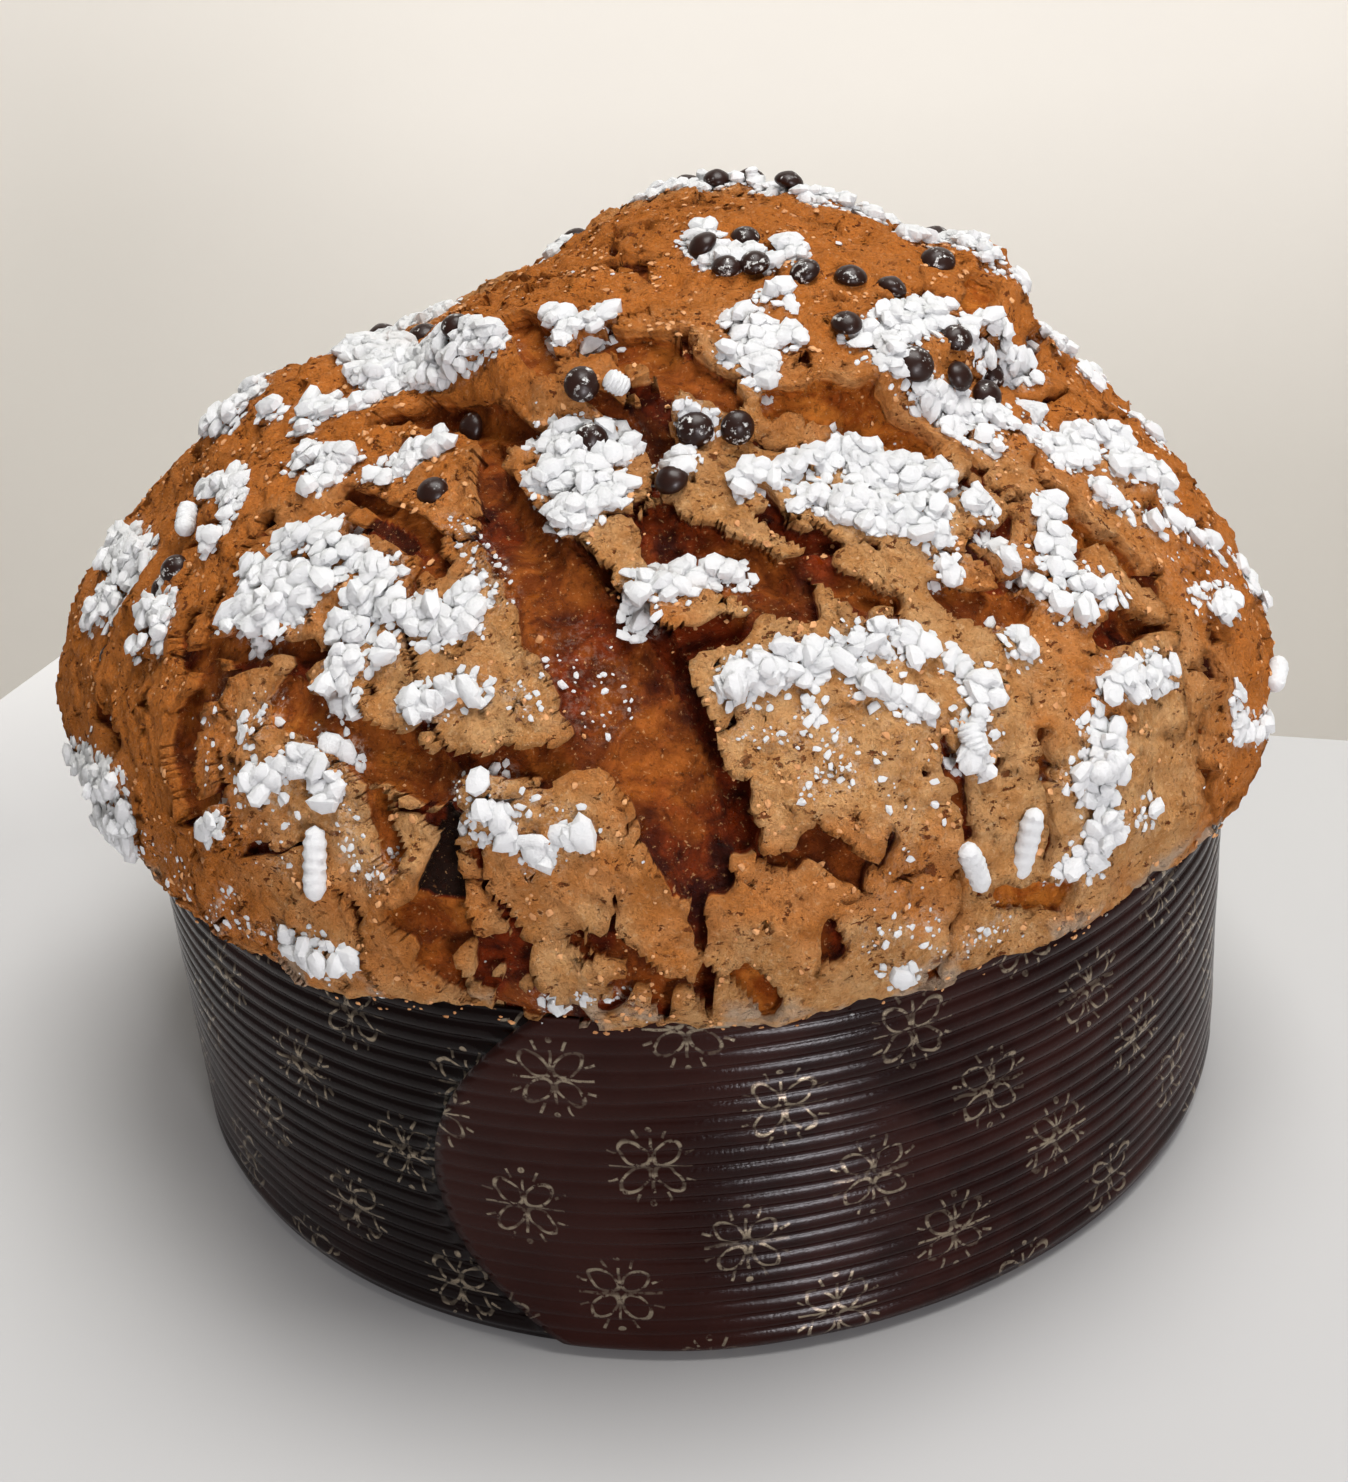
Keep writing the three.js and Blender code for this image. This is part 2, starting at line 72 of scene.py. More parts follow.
# Torn places in the glaze: depth in mm, tone (-1 burnt, 0 dark, 1 golden), then runs of azimuth, polar
# and half width in mm
tears = [
    (4.2, 0.2, [(-36, 36, 3), (-30, 41, 4), (-23, 48, 5), (-14, 55, 7.5), (-7, 63, 9), (-3, 69, 8.5),
                (0, 75, 7), (0, 79, 5)]),
    (7.5, -0.05, [(-13, 50, 1.4), (-8, 54, 2.0), (-1, 62, 2.4), (1, 68, 3), (3, 74, 3), (4, 78, 2.2)]),
    (4.5, -0.6, [(1, 72, 2.2), (2, 78, 2.2)]),
    (3.6, 0.1, [(0, 80, 1.8), (0, 86, 1.2), (0, 93, 1.2)]),
    (1.6, 0.8, [(3, 88, 1.6), (5, 92, 2.2)]),
    (2.8, 0.4, [(-61, 40, 2.5), (-55, 36, 4), (-40, 35, 5), (-25, 37, 3.5)]),
    (1.8, 0.4, [(-46, 22, 3), (-36, 24, 4), (-25, 29, 3)]),
    (1.8, 0.4, [(-110, 24, 2), (-77, 12, 2.5), (-10, 7, 2.5)]),
    (2.2, 0.5, [(-17, 25, 3.5), (-4, 26, 5), (7, 31, 6), (13, 35, 3.5)]),
    (1.8, 0.3, [(-13, 33, 2), (-2, 36, 3), (0, 40, 2.5)]),
    (2.6, 0.85, [(20, 36, 2.5), (28, 38, 4), (36, 41, 5.5), (40, 46, 3.5)]),
    (2.0, 0.95, [(70, 38, 3), (82, 38, 3)]),
    (3.2, 0.2, [(-1, 47, 3), (0, 51, 5.5), (8, 54, 5.5), (13, 57, 4)]),
    (3.2, 0.1, [(9, 57, 3.5), (13, 59, 3)]),
    (2.6, 0.2, [(14, 54, 1.5), (19, 58, 2), (24, 61, 1.5)]),
    (4.2, -0.2, [(13, 49, 1.6), (16, 52, 2), (20, 54, 1.2)]),
    (3.0, 0.1, [(1, 61, 2.5), (7, 60, 2), (9, 59, 1.5)]),
    (2.0, 0.5, [(29, 61, 2.4), (33, 64, 2.4), (37, 65, 1.8)]),
    (3.6, 0.05, [(51, 55, 1.5), (51, 59, 2), (46, 63, 1)]),
    (2.6, 0.8, [(51, 61, 2), (54, 65, 2.8), (54, 68, 2)]),
    (3.2, 0.1, [(43, 70, 1.8), (47, 70, 2.6), (53, 73, 1.4)]),
    (2.6, 0.1, [(53, 73, 1), (52, 76, 1), (49, 81, 1)]),
    (2.2, 0.2, [(32, 75, 1), (31, 78, 1), (31, 83, 1.2), (30, 86, 1.3)]),
    (1.6, 1.0, [(26, 87, 2), (31, 88, 2.8)]),
    (3.0, 0.05, [(10, 78, 2.3), (13, 81, 2), (13, 83, 0.8)]),
    (2.6, 0.0, [(16, 79, 1.2), (15, 81, 1)]),
    (2.4, 0.1, [(6, 79, 1.6), (8, 80, 1.2)]),
    (2.4, 0.1, [(10, 85, 1.4), (10, 87, 1.2)]),
    (2.4, 0.5, [(-41, 69, 3.5), (-34, 70, 4), (-27, 72, 4.5), (-22, 73, 2.5)]),
    (2.2, 0.45, [(-28, 75, 2.2), (-26, 79, 2.4)]),
    (2.2, 0.3, [(-20, 71, 1.8), (-14, 71, 2.2), (-9, 70, 2)]),
    (2.4, 0.35, [(-52, 71, 3.5), (-53, 77, 5), (-49, 81, 3.5)]),
    (2.4, 0.35, [(-58, 64, 2), (-55, 68, 3), (-50, 70, 3)]),
    (2.6, 0.25, [(-56, 70, 2.6), (-49, 66, 2.3), (-42, 65, 2.2), (-40, 64, 1.5)]),
    (2.2, 0.25, [(-77, 83, 2.5), (-67, 82, 2.5)]),
    (2.4, 0.2, [(-58, 58, 1.8), (-59, 55, 1.4)]),
    (2.4, -0.5, [(-43, 51, 1.8), (-37, 52, 2.2)]),
    (2.2, 0.3, [(-52, 49, 1.5), (-45, 49, 2), (-34, 51, 2.5), (-29, 54, 2)]),
    (3.4, -1.0, [(-21, 76, 1.5), (-21, 79, 2.4), (-21, 81, 3.8)]),
    (2.2, 0.35, [(-25, 84, 2), (-21, 84, 4), (-22, 88, 3.2), (-20, 91, 2.4)]),
    (3.2, 0.1, [(60, 44, 1.4), (74, 47, 1.8), (86, 47, 2)]),
    (2.6, -0.6, [(82, 50, 2.2), (86, 52, 2)]),
    (2.0, 0.05, [(80, 69, 1.6), (80, 71, 1.6)]),
    (2.2, 0.3, [(-104, 60, 4), (-120, 70, 5), (-130, 84, 3)]),
    (3.4, 0.3, [(112, 48, 3), (130, 58, 7), (150, 62, 6), (158, 76, 3)]),
    (3.4, 0.3, [(-170, 34, 4), (-160, 50, 7), (-165, 68, 6), (-158, 86, 3)]),
    (2.6, 0.4, [(-95, 40, 2), (-112, 44, 4), (-128, 46, 3)]),
    (2.6, 0.5, [(98, 80, 3), (116, 84, 4), (122, 92, 3)]),
    (2.6, 0.4, [(170, 76, 2), (178, 86, 3)]),
]

# Plates without a crack of their own: azimuth, polar and radius in mm
wholePlates = [(14, 71, 15), (-19, 66, 9), (-13, 79, 8), (-32, 40, 6), (28, 50, 12), (-13, 42, 10)]

# Patches of pearl sugar, each a run of azimuth, polar and half width in mm
sugarPatches = [
   
    [(-112, 38, 4), (-98, 39, 4), (-88, 36, 5), (-76, 33, 5.5), (-62, 30, 5.5), (-50, 28, 4.5), (-42, 27, 3)],
    [(-78, 38, 2.6), (-72, 35, 3.5)], [(-70, 39, 2)], [(-94, 56, 3.5), (-88, 52, 4.5), (-94, 49, 3)],
    [(-80, 48, 2)], [(-72, 46, 2), (-76, 44, 1.8), (-71, 42, 1.8)],
    [(-64, 48, 3), (-58, 47, 3.6), (-57, 49, 2.6)],
    [(-78, 58, 1.8), (-71, 55, 2.6), (-67, 57, 2.2), (-66, 60, 1.8)], [(-50, 45, 2.4), (-47, 44, 2.2)],
    [(-47, 42, 3), (-44, 40, 2.2)],
    [(-53, 56, 3), (-48, 54, 3.5), (-42, 56, 3.6), (-46, 58, 3.6), (-53, 60, 3.6)],
    [(-51, 64, 3), (-47, 62, 3.6), (-44, 61, 3)], [(-48, 65, 2.5)],
    [(-36, 56, 3), (-36, 59, 4), (-30, 59, 3), (-26, 60, 2.5), (-23, 59, 2.2), (-24, 56, 2)],
    [(-36, 62, 4), (-35, 65, 3.5), (-35, 67, 3)], [(-31, 63, 1.6)],
    [(-90, 71, 3.5), (-81, 69, 4.5), (-81, 72, 5), (-84, 76, 3)],
    [(-71, 69, 3.5), (-65, 69, 3.5), (-65, 70, 3), (-69, 72, 2.5)],
    [(-26, 67, 2), (-23, 66, 2.4), (-20, 65, 2)],
    [(178, 26, 3), (165, 28, 4), (150, 28, 4), (135, 26, 3.6), (122, 27, 3.4), (113, 29, 2.5)],
    [(-143, 20, 3), (-155, 26, 3.5)], [(49, 8, 3), (38, 11, 3), (47, 14, 3.5), (55, 17, 3.5), (64, 18, 2.4)],
    [(35, 22, 2), (36, 24, 2)], [(23, 23, 2), (24, 26, 3.5), (21, 31, 3), (19, 34, 2)],
    [(30, 29, 2), (16, 29, 2)], [(-31, 21, 2), (-26, 24, 2.5), (-19, 22, 2.5), (-16, 20, 1.6)],
    [(-22, 37, 3.4), (-15, 38, 5.5), (-8, 37, 4)], [(-18, 43, 4), (-12, 43, 5), (-9, 44, 3.6)],
    [(-15, 47, 2.5), (-12, 47, 3)], [(5, 36, 2), (8, 37, 1.6)], [(2, 40, 2.5), (1, 42, 2.5)],
    [(12, 45, 2), (19, 44, 2.5), (25, 44, 2.6)], [(31, 42, 3), (30, 47, 4.5), (34, 49, 4.5), (38, 50, 3)],
    [(20, 48, 2.4), (25, 51, 4), (30, 53, 3.6), (34, 53, 3)], [(40, 53, 2.2), (40, 55, 2)],
    [(32, 55, 3), (32, 58, 2), (31, 60, 1)], [(45, 33, 3.5), (50, 34, 4.5), (59, 35, 4.5), (67, 35, 2.5)],
    [(44, 37, 3.5), (46, 40, 3), (46, 42, 2)], [(63, 40, 3.5), (71, 43, 4), (73, 47, 3)],
    [(49, 43, 3), (52, 45, 3.5), (57, 47, 3.5)], [(47, 46, 2), (51, 50, 2)], [(65, 50, 2.4)],
    [(97, 31, 2.5), (99, 36, 3), (91, 37, 2.5), (88, 39, 2)], [(89, 42, 2.4)], [(86, 48, 2), (97, 54, 2)],
    [(86, 55, 2.2)], [(86, 62, 2.2), (83, 64, 2)],
    [(-4, 58, 2.6), (-4, 55, 2.6), (0, 55, 3), (3, 54, 2.5), (6, 54, 2), (8, 55, 1.6)],
    [(5, 65, 2.6), (10, 64, 3), (13, 64, 2.6), (16, 64, 2), (19, 63, 2.4), (22, 64, 2.5), (24, 65, 2)],
    [(17, 67, 2), (19, 68, 1.8), (22, 70, 1.8)], [(12, 68, 1.2)],
    [(27, 67, 1.6), (28, 69, 2.2), (28, 70, 2)], [(26, 72, 2), (26, 73, 2.2), (25, 75, 2)],
    [(34, 67, 1.8), (34, 68, 1.8)],
    [(38, 76, 2), (38, 78, 3), (37, 80, 3), (36, 82, 3), (36, 84, 2.5), (34, 86, 2), (32, 87, 1.6)],
    [(34, 79, 1.8)], [(41, 85, 1.8)], [(41, 73, 2.2), (44, 74, 2), (49, 75, 2.2)], [(16, 91, 1.8)],
    [(58, 52, 2.2), (59, 55, 3), (66, 56, 3.5), (71, 58, 3)], [(66, 60, 3.5), (70, 63, 3), (69, 65, 2)],
    [(60, 60, 2.4)], [(48, 58, 2.5), (46, 60, 3), (45, 62, 3), (43, 63, 2.5)],
    [(44, 65, 2.2), (46, 66, 2.2), (47, 67, 2)], [(40, 63, 2.2), (41, 66, 2.5), (42, 67, 2)],
    [(39, 58, 1.8), (39, 60, 1.8)], [(61, 64, 1.8), (62, 65, 1.8)],
    [(66, 67, 1.4), (69, 70, 1.8), (70, 72, 1.8)], [(82, 80, 2.2), (80, 82, 2)],
    [(59, 73, 1.8), (64, 75, 2.2)], [(59, 83, 1.8)], [(58, 85, 1.8), (63, 87, 1.8)],
    [(-82, 90, 2.6), (-72, 88, 3.2), (-65, 85, 2.4)], [(-74, 92, 3.2), (-69, 92, 3.6), (-62, 88, 3)],
    [(-43, 72, 1.8)], [(-41, 76, 1.8), (-39, 76, 2.6), (-38, 76, 2)],
    [(-36, 73, 2.6), (-33, 73, 2.3), (-33, 75, 2.2)], [(-46, 82, 1.8), (-44, 80, 1.8)],
    [(-18, 76, 1.8), (-17, 73, 2), (-16, 76, 2)], [(-13, 78, 1.8)], [(-10, 76, 1.8)],
    [(-36, 89, 2), (-33, 89, 2), (-30, 89, 1.4)], [(-13, 92, 1.8)], [(-140, 52, 7), (-128, 58, 6)],
    [(128, 38, 6.5), (140, 44, 5)], [(170, 48, 7), (178, 54, 6)], [(-174, 74, 5), (-166, 78, 4)],
    [(118, 74, 6), (128, 78, 5)], [(146, 84, 4), (152, 86, 3)], [(-118, 84, 4.5), (-112, 88, 3)],
    [(-116, 63, 4), (-108, 66, 3)], [(150, 60, 3), (156, 64, 3)], [(-150, 84, 3), (-146, 87, 2)],
    [(104, 62, 3), (108, 66, 2)], [(-178, 62, 3)], [(-132, 74, 3), (-136, 78, 3)],
]

# Long grains lying alone
sugarSticks = [
    (-33, 78, -32.5, 84), (22, 81, 24, 86), (29, 80, 27.5, 86.5), (-10, 31.5, -6, 32), (25, 72, 25, 75),
    (39, 79, 35, 79.5), (72, 88, 76, 87), (-76, 60, -72, 62), (140, 70, 146, 72), (-150, 66, -147, 70),
]

# Where fine sugar crumbs are thick: share covered, then azimuth, polar and half width
crumbPatches = [
    (0.45, [(-31, 49, 1.8), (-27, 51, 1.8), (-22, 54, 1.8), (-20, 57, 1.8)]),
    (0.35, [(-13, 60, 1.4), (-11, 64, 1.8), (-11, 66, 1.4)]), (0.1, [(-12, 61, 5.5), (-8, 66, 5.5)]),
    (0.5, [(-31, 76, 1.4), (-30, 80, 1.8), (-27, 81, 1.8), (-26, 80, 1.4)]),
    (0.5, [(-38, 80, 1.2), (-36, 82, 1.2)]), (0.55, [(-20, 74, 2.4), (-16, 75, 3)]),
    (0.5, [(-14, 74, 1.4), (-11, 75, 1.8), (-12, 78, 2)]), (0.6, [(-44, 87, 1.2), (-46, 91, 1.4)]),
    (0.5, [(-45, 90, 1), (-37, 89, 1)]), (0.6, [(-10, 90, 1), (-6, 90, 1)]),
    (0.4, [(5, 69, 1.4), (10, 70, 1.4)]), (0.5, [(13, 70, 1.8), (13, 73, 2.5), (10, 74, 1.4)]),
    (0.4, [(16, 74, 1.2), (17, 72, 1.2)]), (0.5, [(13, 87, 1.4), (19, 87, 1.4)]),
    (0.5, [(26, 89, 1.2), (23, 90, 1.2), (19, 90, 1.2)]), (0.5, [(-16, 65, 1.6), (-14, 66, 1.6)]),
    (0.5, [(-43, 70, 1.6), (-42, 72, 1.6)]), (0.4, [(-36, 78, 1.4)]), (0.1, [(-50, 72, 5), (-40, 80, 5)]),
    (0.1, [(20, 70, 6), (16, 84, 4)]), (0.12, [(-70, 88, 4), (-50, 89, 3)]),
    (0.1, [(60, 70, 5), (80, 80, 5)]), (0.1, [(150, 60, 8), (178, 70, 8)]),
    (0.1, [(-150, 40, 8), (-130, 70, 8)]),
]

chips = [
    (-56, 27), (-45, 35), (-37, 46), (-70, 65), (-72, 68), (-78, 78), (39, 10), (70, 12), (36, 15), (44, 17),
    (51, 22), (-13, 37), (-15, 32), (6, 37), (13, 38), (1, 44), (43, 31), (58, 26), (62, 30), (46, 39),
    (57, 39), (53, 42), (59, 45), (67, 44), (84, 33), (114, 35), (102, 35), (169, 29), (160, 27), (152, 28),
    (136, 25), (115, 28), (-161, 30), (-134, 55), (134, 41), (174, 51), (123, 76), (-170, 76), (-112, 36),
]


def direction(azimuth, polar):
    a = np.radians(azimuth)
    p = np.radians(polar)
    return np.stack([np.sin(p) * np.sin(a), -np.sin(p) * np.cos(a), np.cos(p) + 0 * a], -1)


def unit(vectors):
    return vectors / np.maximum(np.linalg.norm(vectors, axis=-1), 1e-9)[..., None]


def smoothStep(low, high, value):
    t = np.clip((value - low) / (high - low), 0, 1)
    return t * t * (3 - 2 * t)


# Whole-number scramble of a lattice corner, from -1 to 1
def scramble(cell, salt):
    n = (cell[:, 0] * 73856093) ^ (cell[:, 1] * 19349663) ^ (cell[:, 2] * 83492791) ^ (salt * 40503)
    n = ((n ^ (n >> 13)) & 0x7FFFFFFF) * 1274126177
    n = ((n ^ (n >> 15)) & 0x7FFFFFFF) * 668265263
    return (((n ^ (n >> 17)) & 0xFFFF) / 32767.5) - 1


# Smooth noise for many points at once, about -0.7 to 0.7, features of the given size in mm
def noiseOf(points, size, shift, octaves=1):
    total = np.zeros(len(points))
    strength = 1.0
    for octave in range(octaves):
        place = points / size * 2.1 ** octave + shift + 19.7 * octave
        cell = np.floor(place).astype(np.int64)
        part = place - cell
        ease = part * part * part * (part * (part * 6 - 15) + 10)
        for corner in np.ndindex(2, 2, 2):
            side = np.array(corner)
            weight = np.prod(np.where(side, ease, 1 - ease), 1)
            gap = part - side
            at = cell + side
            slope = sum(scramble(at, salt + 1) * gap[:, salt] for salt in range(3))
            total += strength * weight * slope
        strength *= 0.55
    return total


# Distance in mm to the nearest border between scattered cells, for hairline cracks
def cellBorder(points, size, shift):
    place = points / size + shift
    cell = np.floor(place).astype(np.int64)
    first = np.full(len(points), 9.0)
    second = np.full(len(points), 9.0)
    for corner in np.ndindex(3, 3, 3):
        at = cell + np.array(corner) - 1
        seed = at + 0.5 + 0.45 * np.stack([scramble(at, 11), scramble(at, 12), scramble(at, 13)], 1)
        reach = np.linalg.norm(place - seed, axis=1)
        second = np.minimum(second, np.maximum(first, reach))
        first = np.minimum(first, reach)
    return (second - first) * size * 0.5


def degreesTo(dirs, place):
    return np.degrees(np.arccos(np.clip(dirs @ direction(*place), -1, 1)))


def breadRadius(dirs):
    x, y, z = dirs.T
    vertical = np.where(z > 0, loaf["rise"], loaf["drop"])
    radius = 1 / np.sqrt((x * x + y * y) / loaf["halfWidth"] ** 2 + (z / vertical) ** 2)
    for azimuth, polar, height, width in swellings:
        radius = radius + height * np.exp(-(degreesTo(dirs, (azimuth, polar)) / width) ** 2)
    low = crown["radius"] - crown["edge"]
    high = crown["radius"] + crown["edge"]
    radius = radius + crown["height"] * (1 - smoothStep(low, high, degreesTo(dirs, crown["at"])))
    slow = np.sin(x * 9.1 + y * 4.3 + 1.7) * np.sin(y * 8.3 - z * 5.9)
    quick = np.sin(x * 17.3 - z * 13.1 + 0.6) * np.sin(y * 15.7 + x * 6.1 + 2.2)
    return radius + 1.1 * slow + 0.8 * quick


# A run of places becomes straight strokes from one to the next
def strokesOf(run):
    ends = run[1:] or run
    return [(direction(a0, p0), direction(a1, p1), w0, w1) for (a0, p0, w0), (a1, p1, w1) in zip(run, ends)]


# Distance in mm to the nearest stroke, less its half width, and which stroke that is
def strokeField(dirs, strokes):
    best = np.full(len(dirs), 1e9)
    which = np.zeros(len(dirs), int)
    for index, (start, end, startWidth, endWidth) in enumerate(strokes):
        along = end - start
        t = np.clip((dirs - start) @ along / max(along @ along, 1e-9), 0, 1)
        reach = np.linalg.norm(dirs - start - t[:, None] * along, axis=1)
        distance = reach * ballRadius - (startWidth + (endWidth - startWidth) * t)
        closer = distance < best
        best[closer] = distance[closer]
        which[closer] = index
    return best, which


tearStrokes = [stroke for depth, tone, run in tears for stroke in strokesOf(run)]
tearFacts = np.array([(depth, tone) for depth, tone, run in tears for stroke in strokesOf(run)])
patchStrokes = [stroke for run in sugarPatches for stroke in strokesOf(run)]
crumbStrokes = [stroke for share, run in crumbPatches for stroke in strokesOf(run)]
crumbShares = np.array([share for share, run in crumbPatches for stroke in strokesOf(run)])
chipDirs = direction(*np.array(chips, float).T)


# Ragged distance to bare crumb, with small pits and hairline cracks of the glaze taken in
def tearDistance(dirs):
    places = dirs * ballRadius
    distance, which = strokeField(dirs, tearStrokes)
    rough = 2.2 * noiseOf(places, 8, 3.1) + 2.0 * noiseOf(places, 3.9, 11.7)
    rough = rough + noiseOf(places, 2.4, 71.3)
    distance = distance + rough
    pits = 3.6 * (0.43 - noiseOf(places, 3.6, 31.3, 3))
    sway = [noiseOf(places, 5, 1.5), noiseOf(places, 5, 8.5), noiseOf(places, 5, 15.5)]
    wandering = places + 2.4 * np.stack(sway, 1)
    healed = 9 * np.maximum(0, noiseOf(places, 22, 7.9) + 0.02)
    cracks = cellBorder(wandering, 21, 5.3) - 0.5 + 0.5 * rough + healed
    plates = [radius - mmPerDegree * degreesTo(dirs, (at, polar)) for at, polar, radius in wholePlates]
    cracks = cracks + np.maximum(0, np.max(plates, 0))
    small = np.minimum(pits, cracks)
    return np.minimum(distance, small), distance, which, small


# Height over the bread's form where glazed and where bare, the tone of the crumb and the ragged distance
def crustLevels(dirs):
    places = dirs * ballRadius
    ragged, distance, which, small = tearDistance(dirs)
    depth = tearFacts[which, 0]
    tone = np.where(small < distance, 0.05, tearFacts[which, 1])
    inside = smoothStep(0, 6, -distance)
    strand = noiseOf(places, 8, 19.0, 3)
    bare = -1.2 - depth * (0.45 + 0.55 * inside) + 0.9 * strand + 0.25 * noiseOf(places, 2.2, 29.0, 2)
    bare = np.where(small < distance, -1.9, bare)
    lump = noiseOf(places, 7, 23.0, 3)
    grit = noiseOf(places, 2.1, 41.0, 2)
    curl = 1.7 * np.exp(-np.maximum(ragged, 0) / 2.4) * smoothStep(-0.25, 0.3, noiseOf(places, 8, 57.0))
    crag = np.abs(noiseOf(places, 4.6, 63.0, 3))
    plate = 0.45 + 0.85 * lump + 0.5 * grit - 1.3 * crag + curl
    return plate, bare, tone, ragged


# Points in mm on the crust, and the bread's normals there, for grains that lie on it
def crustFrames(dirs):
    side = unit(np.stack([-dirs[:, 1], dirs[:, 0], 0 * dirs[:, 0]], 1))
    up = np.cross(dirs, side)
    nearSide = unit(dirs + 0.04 * side)
    nearUp = unit(dirs + 0.04 * up)
    base = dirs * breadRadius(dirs)[:, None]
    toSide = nearSide * breadRadius(nearSide)[:, None] - base
    toUp = nearUp * breadRadius(nearUp)[:, None] - base
    normals = unit(np.cross(toSide, toUp))
    normals *= np.sign(np.sum(normals * dirs, 1))[:, None]
    plate, bare, tone, ragged = crustLevels(dirs)
    level = np.where(ragged > 0, plate, np.maximum(bare, -2.6))
    points = base + dirs * level[:, None]
    points[:, 2] += loaf["centre"]
    return points, normals


def deselectAll():
    if bpy.context.object and bpy.context.object.mode != "OBJECT":
        bpy.ops.object.mode_set(mode="OBJECT")
    bpy.ops.object.select_all(action="DESELECT")


def named(name):
    piece = bpy.context.object
    piece.name = name
    piece.data.name = name
    return piece


def coordinates(mesh):
    co = np.empty(len(mesh.vertices) * 3)
    mesh.vertices.foreach_get("co", co)
    return co.reshape(-1, 3)


def setCoordinates(mesh, co):
    mesh.vertices.foreach_set("co", np.ascontiguousarray(co, dtype=np.float32).ravel())
    mesh.update()


def setAttribute(mesh, name, values):
    layer = mesh.attributes.new(name, "FLOAT", "POINT")
    layer.data.foreach_set("value", np.ascontiguousarray(values, dtype=np.float32))


def meshPiece(name, verts, faces, edges=()):
    mesh = bpy.data.meshes.new(name)
    mesh.from_pydata([tuple(vert) for vert in verts], edges, [tuple(face) for face in faces])
    mesh.update()
    piece = bpy.data.objects.new(name, mesh)
    bpy.context.scene.collection.objects.link(piece)
    deselectAll()
    bpy.context.view_layer.objects.active = piece
    piece.select_set(True)
    bpy.ops.object.shade_smooth()
    return piece


# Slope of a value over the mesh, and the mean edge length, at each vertex
def slopeOf(edges, places, value):
    first, second = edges.T
    along = places[second] - places[first]
    squared = np.maximum(np.sum(along * along, 1), 1e-9)
    share = (value[second] - value[first])[:, None] * along / squared[:, None]
    slope = np.zeros_like(places)
    count = np.zeros(len(places))
    length = np.zeros(len(places))
    for ends in (first, second):
        np.add.at(slope, ends, share)
        np.add.at(count, ends, 1)
        np.add.at(length, ends, np.sqrt(squared))
    return slope * 2 / np.maximum(count, 1)[:, None], length / np.maximum(count, 1)


lipWander = [(-46, 12, 1.0), (-22, 5, -1.2), (-9, 7, 0.9), (3, 4, 1.6), (18, 5, 0.7), (38, 8, -0.8)]


